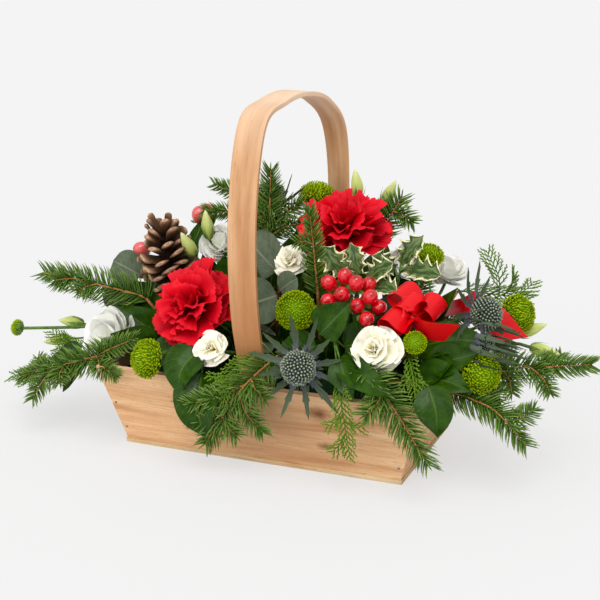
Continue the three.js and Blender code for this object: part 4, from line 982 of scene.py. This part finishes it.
def flowers(name, entry, heads, fork=0.6):
    """Heads that share one stem. The first ends it and the others branch off."""
    form = Form()
    kind, place, facing, size, neck, via = heads[0]
    way = head_stem(entry, vec(*place), vec(*facing), neck * size, via)
    tube(form, way, [TWIG_RADIUS, TWIG_RADIUS], "stem_green")
    for number, (kind, place, facing, size, neck, via) in enumerate(heads):
        if number:
            branch(form, way, fork, vec(*place), vec(*facing), neck * size)
        kind(form, vec(*place), vec(*facing), size)
    piece(name + "_bloom", form, name)


def mum(place, facing, size, via=None):
    return mum_head, place, facing, size, MUM_NECK, via


def cup(place, facing, size, via=None):
    return lisianthus_head, place, facing, size, LISIANTHUS_NECK, via


def bud(place, facing):
    return bud_head, place, facing, BUD, BUD_NECK, None


def thistle(place, facing, size, via=None, start=0.0, end=1.0, reach=BRACT, sweep=0.0):
    kind = lambda form, p, f, d: thistle_head(form, p, f, d, reach, start, end, sweep)
    return kind, place, facing, size, THISTLE_NECK, via


RED_PETALS = CARNATION_RINGS, "red_petal", 0.055, 0.035, 0.12, 27, 0.0
WHITE_PETALS = SPRAY_RINGS, "white_petal", 0.025, 0.0, 0.28, 15, 0.2
for name, entry, place, facing in (
        ("carnation_left", (-0.5, -0.45), vec(-69, -55, 50), vec(-0.25, -0.7, 0.67)),
        ("carnation_right", (0.42, 0.15), vec(47, 15, 115), vec(0.05, -0.42, 0.91))):
    piece(name + "_bloom", carnation(entry, place, facing, CARNATION, *RED_PETALS), name)
for name, entry, place, facing, size in (
        ("spray_carnation_front_left", (-0.25, -0.75), vec(-34, -95, 26), vec(-0.05, -0.9, 0.42), SPRAY),
        ("spray_carnation_centre", (0.05, -0.2), vec(11, -25, 91), vec(-0.1, -0.75, 0.65), SPRAY),
        ("spray_carnation_front_right", (0.8, -0.7), vec(111, -85, 40), vec(0.05, -0.88, 0.47),
         WIDE_SPRAY)):
    piece(name + "_bloom", carnation(entry, place, facing, size, *WHITE_PETALS), name)

flowers("button_mum_front_left", (-0.7, -0.75), [
    mum((-89, -108, 14), (-0.6, -0.75, 0.28), MUM, [vec(-84, -80, 12)])])
flowers("button_mum_centre", (0.25, -0.55), [mum((32, -65, 59), (0.25, -0.85, 0.45), MUM)])
flowers("button_mum_back", (0.05, 0.6), [mum((4, 60, 130), (0, 0.25, 0.97), MUM)])
flowers("button_mum_right_pair", (0.93, -0.55), [
    mum((194, -55, 20), (0.75, -0.6, 0.25), MUM, [vec(150, -45, 14)]),
    mum((142, -75, 47), (0.2, -0.85, 0.45), YOUNG_MUM)])
flowers("button_mum_right_spray", (0.95, -0.15), [
    mum((204, 24, 50), (0.85, -0.35, 0.4), MUM, [vec(150, 12, 26)]),
    mum((120, 30, 92), (0.1, -0.15, 0.95), SMALL_MUM)], 0.5)
flowers("button_mum_far_left", (-0.92, 0.1), [
    mum((-275, -20, -7), (-1, 0, 0.05), MUM_BUD, [vec(-150, -5, 8), vec(-206, -20, 2)])])
flowers("thistle_front", (0.4, -0.8), [
    thistle((54, -112, 26), (0.2, -0.93, 0.3), THISTLE, [vec(50, -84, 18)])])
flowers("thistle_right", (0.85, -0.35), [
    thistle((184, -26, 62), (0.93, -0.3, 0.2), THISTLE, None, -0.08, 0.4),
    thistle((192, -46, 44), (0.95, -0.2, -0.1), YOUNG_THISTLE, None, -0.5, 0.5, YOUNG_BRACT, 0.9)],
    0.8)
flowers("thistle_back", (-0.25, 0.65), [
    thistle((-44, 62, 120), (-0.2, 0.5, 0.85), THISTLE)])
cone = pine_cone((-0.85, 0.05), vec(-117, -5, 76), vec(-0.1, -0.15, 0.98))
piece("pine_cone_scales", cone, "pine_cone")
flowers("lisianthus_left", (-0.88, -0.35), [
    cup((-158, -52, 8), (-0.25, -0.8, 0.55), LISIANTHUS, [vec(-130, -30, 2)]),
    bud((-221, -10, 2), (-1, 0.05, 0)), bud((-229, -24, -13), (-0.9, -0.1, -0.2))])
flowers("lisianthus_back_left", (-0.62, 0.35), [
    cup((-74, 12, 90), (0.05, -0.7, 0.7), YOUNG_LISIANTHUS),
    bud((-93, -14, 92), (-0.3, -0.4, 0.85)), bud((-84, 8, 106), (-0.1, -0.1, 1))])
flowers("lisianthus_back_right", (0.85, 0.55), [
    cup((132, 54, 74), (0.3, -0.45, 0.84), YOUNG_LISIANTHUS),
    cup((94, 62, 78), (-0.1, -0.75, 0.65), YOUNG_LISIANTHUS)])
flowers("lisianthus_buds_back", (0.45, 0.6), [
    bud((41, 62, 143), (-0.1, 0, 1)), bud((74, 57, 138), (0.4, 0, 0.9))])
flowers("lisianthus_buds_right", (0.93, 0.35), [
    bud((232, 10, 24), (0.95, -0.1, -0.1)), bud((214, 34, 34), (0.8, 0.3, 0.3))])

piece("hypericum_centre_berries", berry_spray((0.6, -0.4), vec(76, -40, 66), [vec(*p) for p in (
    (57, -50, 82), (60, -58, 69), (70, -46, 88), (72, -58, 76), (83, -55, 86), (90, -44, 82), (97, -60, 77),
    (86, -60, 68), (102, -52, 66), (97, -68, 60))], "red_berry"), "hypericum_centre")
LEFT_BERRIES = [vec(*p) for p in ((-156, 15, 75), (-146, 22, 84), (-101, 42, 109), (-112, 48, 104))]
LEFT_BERRY_LEAVES = [dict(tip=vec(-146, 27, 102), width=18, facing=vec(0, -0.9, 0.3)),
                     dict(tip=vec(-94, 58, 112), width=18, facing=vec(0, -0.9, 0.3))]
piece("hypericum_left_berries", berry_spray((-0.78, 0.5), vec(-118, 34, 84), LEFT_BERRIES, "coral_berry",
                                            LEFT_BERRY_LEAVES), "hypericum_left")

LOOPS = [(vec(-6, -12, -4), vec(-15, 2, 7), vec(0.25, 0.9, 0.31)),
         (vec(2, 3, 3), vec(-15, 2, 8), vec(0.25, 0.9, 0.31)),
         (vec(-6, 13, 11), vec(-14, 1, 7), vec(0.3, 0.9, 0.2)),
         (vec(3, 12, 10), vec(15, 1, -11), vec(0.25, 0.9, 0.31))]
TAIL_WAYS = [([vec(147, -68, 57), vec(171, -66, 56)], vec(0.1, -0.5, 0.8)),
             ([vec(150, -28, 62), vec(168, 2, 60), vec(188, -4, 54), vec(207, -6, 36)],
              vec(0.69, 0.46, 0.56))]
bow, bow_length = ribbon_bow(LOOPS, TAIL_WAYS)
bow_piece = piece("ribbon_bow_satin", bow, "ribbon_bow")
knot = Form()
tube(knot, stem_line((0.68, -0.62), KNOT), [WIRE_RADIUS, WIRE_RADIUS], "wire")
lathe(knot, KNOT, axes_of(vec(0.3, -0.8, 0.4)), KNOT_PROFILE, "ribbon_satin", 16,
      lambda turn, share: 1 + 0.12 * np.cos(4 * turn))
piece("ribbon_knot", knot, None)


def leaves(*rows):
    """Leaves by the share of the stem that they leave from, their base, tip, width, facing and bend."""
    return [(share, dict(base=vec(*base), tip=vec(*tip), width=width, facing=vec(*facing),
                         **{"bend": vec(*b) for b in bend}))
            for share, base, tip, width, facing, *bend in rows]


for name, entry, way, rows in (
        ("holly_centre", (0.5, -0.15), [vec(66, -24, 60), vec(74, -28, 82)], [
            (0.96, (68, -30, 84), (42, -34, 110), 26, (0, -0.9, 0.4)),
            (0.97, (75, -28, 86), (66, -22, 112), 24, (0.2, -0.9, 0.3)),
            (0.96, (84, -32, 84), (112, -42, 104), 26, (0, -0.8, 0.6)),
            (0.9, (92, -34, 80), (118, -50, 82), 24, (0, -0.7, 0.7))]),
        ("holly_right", (0.8, 0), [vec(100, 0, 60), vec(106, -4, 88)], [
            (0.97, (112, -8, 90), (148, -20, 90), 28, (0, -0.7, 0.7)),
            (0.95, (105, -2, 92), (124, 2, 118), 26, (-0.2, -0.9, 0.4)),
            (0.9, (98, 4, 84), (82, -14, 100), 26, (0.2, -0.8, 0.5))])):
    piece(name + "_leaves", leaf_stem(entry, way, leaves(*rows), holly_leaf), name)
for name, entry, way, rows in (
        ("eucalyptus_left", (-0.95, 0.45), [vec(-136, 8, 30), vec(-150, 4, 52)], [
            (0.97, (-152, 4, 52), (-180, 2, 64), 34, (0, -0.8, 0.6)),
            (0.85, (-148, 0, 36), (-186, -10, 30), 30, (0, -0.8, 0.6)),
            (0.9, (-146, 10, 48), (-160, 36, 60), 32, (-0.4, 0.3, 0.8))]),
        ("eucalyptus_centre", (-0.05, -0.45), [vec(6, -40, 50), vec(0, -26, 84)], [
            (0.97, (-2, -24, 80), (-34, -14, 104), 44, (-0.1, -0.95, 0.2)),
            (0.75, (6, -44, 64), (-20, -58, 54), 42, (0.1, -0.95, 0.3)),
            (0.8, (8, -42, 68), (26, -46, 82), 24, (0.2, -0.8, 0.5)),
            (0.62, (0, -46, 34), (-14, -62, 12), 34, (0, -0.9, 0.5))])):
    form = leaf_stem(entry, way, leaves(*rows), round_leaf, "stem_red")
    piece(name + "_leaves", form, name)
for name, entry, way, rows in (
        ("salal_front_left", (-0.4, -0.85), [vec(-48, -84, 22)], [
            (0.97, (-48, -90, 22), (-58, -110, -16), 34, (-0.1, -0.95, 0.2), (-4, -8, 4)),
            (0.9, (-42, -98, 4), (-34, -112, -50), 42, (0.1, -0.97, 0.2), (0, -10, 0)),
            (0.84, (-60, -74, 14), (-112, -84, 6), 34, (0, -0.7, 0.7))]),
        ("salal_front_right", (0.72, -0.9), [vec(120, -72, 16), vec(156, -92, 20)], [
            (0.97, (160, -94, 18), (170, -98, -24), 32, (0.2, -0.95, 0.2), (4, -6, 4))]),
        ("salal_right", (0.97, -0.75), [vec(156, -46, 6)], [
            (0.97, (160, -50, 8), (219, -62, -22), 26, (0.2, -0.7, 0.7), (4, 0, 10)),
            (0.7, (136, -36, 38), (180, -44, 38), 26, (0, -0.7, 0.7)),
            (0.8, (148, -56, 14), (176, -72, 34), 28, (-0.1, -0.8, 0.6)),
            (0.75, (126, -52, 30), (200, -42, 44), 34, (-0.1, -0.75, 0.65), (0, 0, 6)),
            (0.8, (140, -66, 8), (192, -78, 12), 34, (-0.1, -0.75, 0.65), (0, 0, 6))]),
        ("salal_centre", (0.55, -0.65), [vec(66, -62, 40), vec(74, -84, 44)], [
            (0.8, (60, -80, 46), (86, -76, 76), 34, (0, -0.9, 0.4)),
            (0.97, (80, -94, 30), (138, -111, 8), 26, (0.1, -0.8, 0.6)),
            (0.93, (84, -98, 34), (101, -112, 2), 24, (0, -0.95, 0.3)),
            (0.7, (52, -66, 30), (20, -84, 26), 30, (0, -0.9, 0.5)),
            (0.7, (78, -70, 34), (120, -66, 50), 34, (0, -0.85, 0.5))]),
        ("salal_left", (-0.97, -0.8), [vec(-150, -54, 0), vec(-176, -52, -8)], [
            (0.97, (-180, -54, -12), (-202, -64, -48), 28, (-0.5, -0.8, 0.3)),
            (0.93, (-184, -50, -10), (-226, -48, -26), 24, (-0.1, -0.7, 0.7)),
            (0.7, (-120, -24, 20), (-160, -4, 38), 34, (0, -0.8, 0.6))]),
        ("salal_back_left", (-0.2, 0.85), [vec(-28, 82, 28)], [
            (0.97, (-34, 88, 28), (-64, 114, -22), 38, (-0.3, 0.9, 0.4)),
            (0.9, (-24, 90, 24), (-20, 116, -34), 38, (0, 0.95, 0.3)),
            (0.84, (-28, 80, 42), (-32, 100, 86), 36, (0, 0.9, 0.3)),
            (0.78, (-46, 66, 34), (-86, 54, 70), 40, (-0.1, -0.8, 0.6)),
            (0.72, (-40, 62, 24), (-92, 72, 36), 38, (-0.2, 0.6, 0.8))]),
        ("salal_back_right", (0.38, 0.85), [vec(48, 82, 28)], [
            (0.97, (54, 88, 28), (80, 114, -22), 38, (0.3, 0.9, 0.4)),
            (0.9, (46, 90, 24), (42, 116, -36), 38, (0, 0.95, 0.3)),
            (0.84, (50, 80, 42), (58, 102, 80), 36, (0, 0.9, 0.3)),
            (0.78, (66, 66, 36), (104, 48, 62), 40, (0.1, -0.8, 0.6)),
            (0.72, (34, 64, 34), (4, 56, 76), 38, (0, -0.8, 0.6))])):
    piece(name + "_leaves", leaf_stem(entry, way, leaves(*rows), broad_leaf), name)

# Leaves low in the foam, round and between the stems
LOW_LEAF_RINGS = ((34, 0.94, 0.9, 40, 16, 36), (26, 0.8, 0.75, 34, 36, 38), (18, 0.62, 0.55, 44, 34, 38),
                  (12, 0.75, 0.4, 22, 66, 38), (8, 0.35, 0.3, 16, 78, 40))
FILL_LEAVES = (((-112, -30, 4), (-158, -36, 34), 34), ((-108, -50, 2), (-146, -70, 18), 32),
               ((-100, 0, 14), (-150, -14, 52), 36), ((128, -20, 34), (166, -34, 86), 20),
               ((150, -62, 24), (194, -60, 40), 28), ((-2, 8, 58), (2, 16, 108), 40),
               ((24, 4, 56), (30, 10, 104), 38), ((-24, 14, 52), (-22, 20, 100), 38),
               ((-58, -2, 40), (-58, 8, 92), 34), ((10, -12, 44), (20, -8, 90), 34))
low = Form()
for count, along, across, reach, rise, width in LOW_LEAF_RINGS:
    for i in range(count):
        turn = TAU * (i + 0.5) / count
        ray = vec(math.cos(turn), math.sin(turn), 0)
        corner = ray / np.abs(ray).max()
        root = vec(along * FOAM_HALF[0] * corner[0], across * FOAM_HALF[1] * corner[1], -6)
        tip = root + ray * reach * rng.uniform(0.7, 1.0) + UP * (6 + rise * rng.uniform(0.4, 1.2))
        base = lerp(root, tip, 0.15)
        broad_leaf(low, root, tip, width * rng.uniform(0.8, 1.1), unit(UP - 0.5 * ray), base, UP * 6)
for base, tip, width in FILL_LEAVES:
    broad_leaf(low, vec(*base), vec(*tip), width, VIEW)
piece("low_leaves", low, None)

for name, entry, way, twigs, facing, reach in (
        ("fir_left_high", (-0.95, -0.2), [(-135, -19, 38), (-185, -22, 47), (-239, -25, 54)],
         [(0.5, (-196, -38, 44)), (0.72, (-222, -34, 50)), (0.12, (-148, -8, 36))],
         VIEW, LONG_NEEDLE),
        ("fir_left_low", (-0.82, -0.9), [(-146, -72, 0), (-198, -76, -18), (-240, -74, -34)],
         [(0.5, (-186, -96, -26)), (0.6, (-216, -94, -46)), (0.7, (-234, -52, -22)),
          (0.16, (-116, -78, 20)), (0.16, (-122, -104, -8))], VIEW, NEEDLE),
        ("fir_front_left", (0.12, -0.85), [(24, -88, 24), (2, -108, 1), (-34, -110, -56)],
         [(0.45, (20, -110, -38)), (0.55, (-28, -116, -10)), (0.75, (-44, -114, -34)),
          (0.7, (-4, -112, -44)), (0.36, (-52, -118, -20)), (0.3, (24, -112, -6))], FRONT, LONG_NEEDLE),
        ("fir_front_right", (0.85, -0.9), [(104, -92, 24), (131, -107, 5), (166, -110, -44)],
         [(0.3, (112, -113, -8))], FRONT, LONG_NEEDLE),
        ("fir_right", (0.97, -0.38), [(152, -20, 8), (204, -18, 14), (277, -10, 24)],
         [(0.6, (249, -38, 4)), (0.65, (246, 14, 22)), (0.4, (218, -44, 2)), (0.3, (190, -50, 16)),
          (0.35, (196, 14, 28))], VIEW, NEEDLE),
        ("fir_right_low", (0.97, -0.95), [(165, -64, 4), (206, -64, -6), (236, -64, -34)],
         [(0.7, (238, -46, -8)), (0.4, (208, -44, 4))], VIEW, NEEDLE),
        ("fir_top", (-0.25, 0.35), [(-32, 30, 96), (-31, 32, 157)],
         [(0.14, (-97, 30, 114)), (0.3, (-91, 38, 138)), (0.15, (-2, 38, 128)),
          (0.2, (-58, 26, 126)), (0.05, (4, 28, 112))], FRONT, NEEDLE),
        ("fir_middle", (0.3, -0.25), [(41, -36, 69), (34, -38, 143)], [(0.6, (22, -40, 112))],
         FRONT, SHORT_NEEDLE),
        ("fir_top_right", (0.55, 0.45), [(70, 40, 100), (88, 50, 138)],
         [(0.7, (100, 48, 116)), (0.72, (66, 52, 126))], FRONT, NEEDLE),
        ("fir_back_left", (-0.55, 0.85), [(-72, 90, 26), (-92, 112, 0), (-112, 118, -40)],
         [(0.1, (-86, 106, 64)), (0.3, (-130, 106, 16)), (0.4, (-80, 116, -30)), (0.55, (-132, 114, -16))],
         BACK, NEEDLE),
        ("fir_back_right", (0.6, 0.85), [(82, 90, 24), (104, 112, 0), (128, 118, -38)],
         [(0.1, (98, 106, 60)), (0.3, (144, 104, 16)), (0.4, (94, 116, -32)), (0.55, (148, 112, -14))],
         BACK, NEEDLE)):
    form = sprig(entry, way, twigs, facing, reach, needled)
    piece(name + "_needles", form, name)
for name, entry, way, twigs, facing, reach in (
        ("cypress_right", (0.97, 0.6), [(144, 42, 58), (209, 52, 56)],
         [(0.6, (164, 62, 94)), (0.65, (196, 40, 80)), (0.75, (206, 74, 66))], ABOVE, SCALE_SHOOT),
        ("cypress_front", (0.65, -0.95), [(80, -94, 18), (90, -111, 4), (100, -113, -50)],
         [(0.5, (79, -116, -22)), (0.58, (112, -114, -18)), (0.7, (84, -116, -44))], FRONT, SLIM_SHOOT),
        ("cypress_left", (-0.97, -0.42), [(-152, -30, 2), (-205, -44, -24), (-270, -46, -48)],
         [(0.6, (-212, -26, -28)), (0.7, (-240, -62, -46)), (0.25, (-236, -26, -4)),
          (0.3, (-226, -32, -18))],
         ABOVE, SCALE_SHOOT),
        ("front_left_frond", (-0.02, -0.8), [(6, -92, 28), (-8, -108, 14), (-24, -115, -8)],
         [(0.5, (-14, -116, -14)), (0.6, (-30, -114, 8))], FRONT, SHORT_SHOOT),
        ("front_right_frond", (0.9, -0.6), [(132, -66, 34), (144, -88, 26), (154, -104, -4)],
         [(0.35, (138, -100, 10)), (0.5, (164, -98, 4))], VIEW, SHORT_SHOOT)):
    form = sprig(entry, way, twigs, facing, reach, feathered)
    piece(name + "_sprays", form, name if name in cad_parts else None)


# Trug

def wood_look(name, grain, light, mid, dark, rough=0.55, knots_and_shade=()):
    """Planed softwood with its grain along an axis, streaks, pores, and soft dark spots: knots, and painted
    shade.
    """
    look = Look(name, rough)

    def grained(scale, detail, squeeze, distortion=0.0):
        stretch = tuple(1.0 if axis == grain else squeeze for axis in range(3))
        return look.noise(scale, detail, stretch, distortion)

    broad = grained(7, 4, 14.0, 0.6)
    fine = grained(38, 6, 16.0, 0.3)
    pores = grained(240, 2, 9.0)
    tone = look.ramp(broad, (0.25, dark), (0.48, mid), (0.72, light))
    tone = look.mix(look.maths("MULTIPLY", look.level(fine, 0.45, 0.8), 0.6), tone, dark)
    tone = look.mix(look.maths("MULTIPLY", look.level(pores, 0.6, 0.75), 0.45), tone, rgb(120, 78, 46))
    place = look.add("TexCoord", {}, "Object")
    # Dark spots: knots, and one broad patch of painted shade.
    for knot, size, soft, share in knots_and_shade:
        away = look.add("VectorMath", {0: place, 1: knot}, operation="SUBTRACT")
        away = look.add("Mapping", {"Vector": away, "Scale": (0.6, 0.35, 1.0)})
        far = look.add("VectorMath", {0: away}, "Value", operation="LENGTH")
        far = look.maths("ADD", far, look.maths("MULTIPLY", look.noise(160, 3), 0.004))
        spot = look.maths("MULTIPLY", look.level(far, size * soft, size * 0.7), share)
        tone = look.mix(spot, tone, rgb(110, 68, 42))
    look.set("Base Color", tone)
    look.bump(look.maths("ADD", fine, look.maths("MULTIPLY", pores, 0.5)), 0.25, 0.0004)


def handle_look(light, mid, dark):
    """A bent strip, grain along it: browner wood and painted shade at its front foot, a painted highlight
    at its crown.
    """
    strip = Look("handle_grain_and_painted_light", 0.55)
    broad, fine, pores = strip.fibres(5, 7, 3), strip.fibres(16, 46, 4), strip.fibres(60, 90, 2)
    tone = strip.ramp(broad, (0.3, dark), (0.5, mid), (0.7, light))
    tone = strip.mix(strip.maths("MULTIPLY", strip.level(fine, 0.45, 0.75), 0.5), tone, dark)
    tone = strip.mix(strip.maths("MULTIPLY", strip.level(pores, 0.58, 0.72), 0.25), tone, rgb(132, 88, 56))
    way = strip.mark("along")
    # Darker towards the front foot: partly browner wood, partly painted shade.
    foot = strip.maths("MULTIPLY", strip.level(way, 0.3, 0.12), 0.75)
    tone = strip.mix(foot, tone, rgb(176, 116, 70))
    # Painted highlight: the top of the bend is paler, as if lit strongly from above.
    painted_crown_highlight = strip.level(strip.maths("ABSOLUTE", strip.maths("SUBTRACT", way, 0.5)), 0.16, 0.04)
    tone = strip.mix(strip.maths("MULTIPLY", painted_crown_highlight, 0.5), tone, rgb(248, 224, 198))
    strip.set("Base Color", tone)
    strip.bump(fine, 0.2, 0.0003)


TAN = rgb(246, 206, 160), rgb(232, 184, 138), rgb(194, 136, 92)
# Dark spots by place and size in metres, softness of the edge and share of dark. The first is a broad patch
# of painted shadow from the foliage above the front board, partly stain; the others are knots
KNOTS_AND_PAINTED_SHADE = [((0.03, -0.083, 0.045), 0.012, 6.0, 0.4), ((0.061, -0.085, 0.06), 0.0045, 2.4, 0.9),
         ((0.064, -0.077, 0.027), 0.003, 2.4, 0.9)]
wood_look("pine_long", 0, *TAN, knots_and_shade=KNOTS_AND_PAINTED_SHADE)
wood_look("pine_end", 1, *TAN)
wood_look("ply_base", 0, rgb(232, 208, 168), rgb(214, 182, 138), rgb(186, 146, 102), 0.8)
handle_look(rgb(226, 184, 144), rgb(208, 160, 118), rgb(178, 128, 88))
plain_look("liner_plastic", rgb(26, 28, 26), rgb(38, 40, 36), 0.45, 300, 0.1)
plain_look("foam_wet", rgb(30, 58, 34), rgb(52, 86, 50), 0.9, 900, 0.9)
plain_look("nail_steel", rgb(110, 108, 102), rgb(150, 148, 142), 0.4, 900, 0.2, Metallic=0.8)

NODE_LOOKS = {
    "base_board": "ply_base", "front_board": "pine_long", "back_board": "pine_long",
    "left_end_board": "pine_end", "right_end_board": "pine_end", "liner": "liner_plastic",
    "floral_foam": "foam_wet",
}

BASE_HALF = (131.0, 71.0)
BASE_THICKNESS = 4.0
BOARD_HEIGHT = 73.0
BOARD_SLOPE = 19.5 / BOARD_HEIGHT
SLANT = math.hypot(1, BOARD_SLOPE)
BOARD_ACROSS = 8.0 * SLANT
BOARD_GAP = 0.3
HANDLE_WIDTH, HANDLE_THICKNESS, HANDLE_ROUND = 25.0, 4.5, 0.9
HANDLE_HEIGHT, HANDLE_SPREAD, HANDLE_FOOT, HANDLE_SKEW = 320.0, 103.0, 8.0, 13.0
HANDLE_TWIST, HANDLE_TWIST_FROM = math.radians(25), 0.55
HANDLE_BEND = [(-0.98, 0.3), (-1, 0.635), (-0.815, 0.938), (-0.435, 0.996), (0, 1), (0.45, 0.946),
               (0.815, 0.805), (0.91, 0.47)]
ARCH_POINTS = 120
LEG_POINTS = 7
WORN_EDGE = 0.7
BRAD_HEIGHTS = (12.0, 37.0, 62.0)
BRAD_INSET = 4.2
BRAD_PROFILE = np.array([(1.2, -0.6), (1.2, 0.1), (0.8, 0.35), (0.05, 0.4)])


def leg_point(side, height):
    """The middle of a handle leg at a height above the base board."""
    y = BASE_HALF[1] + BOARD_SLOPE * height - BOARD_ACROSS - BOARD_GAP - SLANT * HANDLE_THICKNESS / 2
    return vec(HANDLE_SKEW if side > 0 else 0, side * y, BASE_THICKNESS + height)


def bent_handle():
    """One rounded strip: up a leg, over in a bend that shifts and twists, and down the other leg."""
    form = Form()
    rims = [leg_point(side, BOARD_HEIGHT) for side in (-1, 1)]
    rise = HANDLE_HEIGHT - HANDLE_THICKNESS / 2 - rims[0][2]
    bend = [vec(HANDLE_SKEW * (1 + out) / 2, HANDLE_SPREAD * out, rims[0][2] + rise * up)
            for out, up in HANDLE_BEND]
    arch = spline([rims[0], *bend, rims[1]], ARCH_POINTS, 0)
    legs = [np.linspace(leg_point(side, HANDLE_FOOT), rim, LEG_POINTS + 1)[:-1]
            for side, rim in zip((-1, 1), rims)]
    line = np.vstack([legs[0], arch, legs[1][::-1]])
    share = np.concatenate([np.zeros(LEG_POINTS), np.linspace(0, 1, ARCH_POINTS), np.ones(LEG_POINTS)])
    late = np.clip(share - HANDLE_TWIST_FROM, 0, 1) / (1 - HANDLE_TWIST_FROM)
    turn = (HANDLE_TWIST * np.sin(math.pi * late) ** 2)[:, None]
    along = unit(np.gradient(line, axis=0))
    wide = vec(1, 0, 0) * np.cos(turn) + np.cross(along, vec(1, 0, 0)) * np.sin(turn)
    out = unit(np.cross(along, wide))
    across = np.cross(out, along)
    quarter = np.repeat(np.arange(4), 3)
    angle = np.roll((quarter + np.tile([0, 0.5, 1], 4)) * TAU / 4, 1)
    corner = np.roll(quarter, 1)
    right = np.where((corner == 0) | (corner == 3), 1, -1)
    outer = np.where(corner < 2, 1, -1)
    s = right * (HANDLE_WIDTH / 2 - HANDLE_ROUND) + HANDLE_ROUND * np.cos(angle)
    o = outer * (HANDLE_THICKNESS / 2 - HANDLE_ROUND) + HANDLE_ROUND * np.sin(angle)
    rows = line[:, None] + across[:, None] * s[:, None] + out[:, None] * o[:, None]
    form.grid(rows, "handle_grain_and_painted_light", 0.3, wrap=True)
    return form


made = piece("handle_strip", bent_handle(), "handle", 0)
made.modifiers.new("flat_faces", "WEIGHTED_NORMAL")
brads = Form()
for side in (-1, 1):
    for end in (-1, 1):
        for height in BRAD_HEIGHTS:
            lean = BOARD_SLOPE * height
            place = vec(end * (BASE_HALF[0] + lean - BRAD_INSET), side * (BASE_HALF[1] + lean),
                        BASE_THICKNESS + height)
            lathe(brads, place, axes_of(vec(0, side, -BOARD_SLOPE)), BRAD_PROFILE, "nail_steel", 10)
piece("corner_brads", brads, None, 0)
for name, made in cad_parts.items():
    if made.hide_render:
        continue
    made.data.materials.clear()
    made.data.materials.append(LOOKS[NODE_LOOKS.get(name, "nail_steel")])
    if name.endswith("board"):
        worn = made.modifiers.new("worn_edges", "BEVEL")
        worn.width = WORN_EDGE * MM
        worn.segments = 2


# Stage

def look_at(thing, eye, target):
    thing.location = Vector(eye)
    thing.rotation_mode = "QUATERNION"
    thing.rotation_quaternion = (Vector(target) - Vector(eye)).to_track_quat("-Z", "Y")


BACKGROUND = rgb(243, 243, 243)
FLOOR_GLOW = 0.65
FLOOR_GREY = 0.74
FLOOR_SIZE = 60
AMBIENT = 0.68
bpy.ops.mesh.primitive_plane_add(size=FLOOR_SIZE, location=(0, 0, 0))
floor = bpy.context.object
floor.name = "floor"
floor_look = Look("floor_paper", 0.9, Specular_IOR_Level=0.0)
floor_look.set("Base Color", grey(FLOOR_GREY))
seen = floor_look.seen("Is Camera Ray", "Is Glossy Ray", "Is Transmission Ray")
paper = floor_look.add("Emission", {"Color": BACKGROUND, "Strength": 1.0})
glow = floor_look.maths("MULTIPLY", seen, FLOOR_GLOW)
floor_look.show("Material Output", glow, floor_look.shader.outputs[0], paper)
floor.data.materials.append(LOOKS["floor_paper"])

world = bpy.data.worlds.new("studio")
bpy.context.scene.world = world
world.use_nodes = True
sky = Nodes(world.node_tree)
lit = sky.tree.nodes["Background"]
sky.put(lit.inputs["Color"], WHITE)
sky.put(lit.inputs["Strength"], AMBIENT)
shown = sky.add("Background", {"Color": BACKGROUND})
seen = sky.seen("Is Camera Ray", "Is Transmission Ray")
sky.show("World Output", seen, lit.outputs[0], shown)

# Lamps by strength, spread in degrees and where they shine from
LAMPS = (("key", 1.3, 40, (0.7, -0.9, 2.0)), ("fill", 0.95, 60, (-0.8, -1.9, 1.1)),
         ("sparkle", 0.22, 8, (0.4, -1.5, 1.9)))
for name, strength, spread, eye in LAMPS:
    lamp = bpy.data.lights.new(name, "SUN")
    lamp.energy = strength
    lamp.angle = math.radians(spread)
    made = bpy.data.objects.new(name, lamp)
    bpy.context.scene.collection.objects.link(made)
    look_at(made, eye, (0, 0, 0))

AZIMUTH, ELEVATION, DISTANCE = math.radians(21.61), math.radians(17.15), 1.354
LENS, SENSOR = 90, 36
TARGET_SHIFT, TARGET_HEIGHT = 0.0095, 0.1299
target = (TARGET_SHIFT * math.cos(AZIMUTH), TARGET_SHIFT * math.sin(AZIMUTH), TARGET_HEIGHT)
back = (math.sin(AZIMUTH) * math.cos(ELEVATION), -math.cos(AZIMUTH) * math.cos(ELEVATION),
        math.sin(ELEVATION))
camera = bpy.data.objects.new("camera", bpy.data.cameras.new("camera"))
camera.data.lens = LENS
camera.data.sensor_width = SENSOR
bpy.context.scene.collection.objects.link(camera)
look_at(camera, tuple(t + DISTANCE * b for t, b in zip(target, back)), target)
bpy.context.scene.camera = camera
bpy.context.scene.view_settings.view_transform = "Standard"
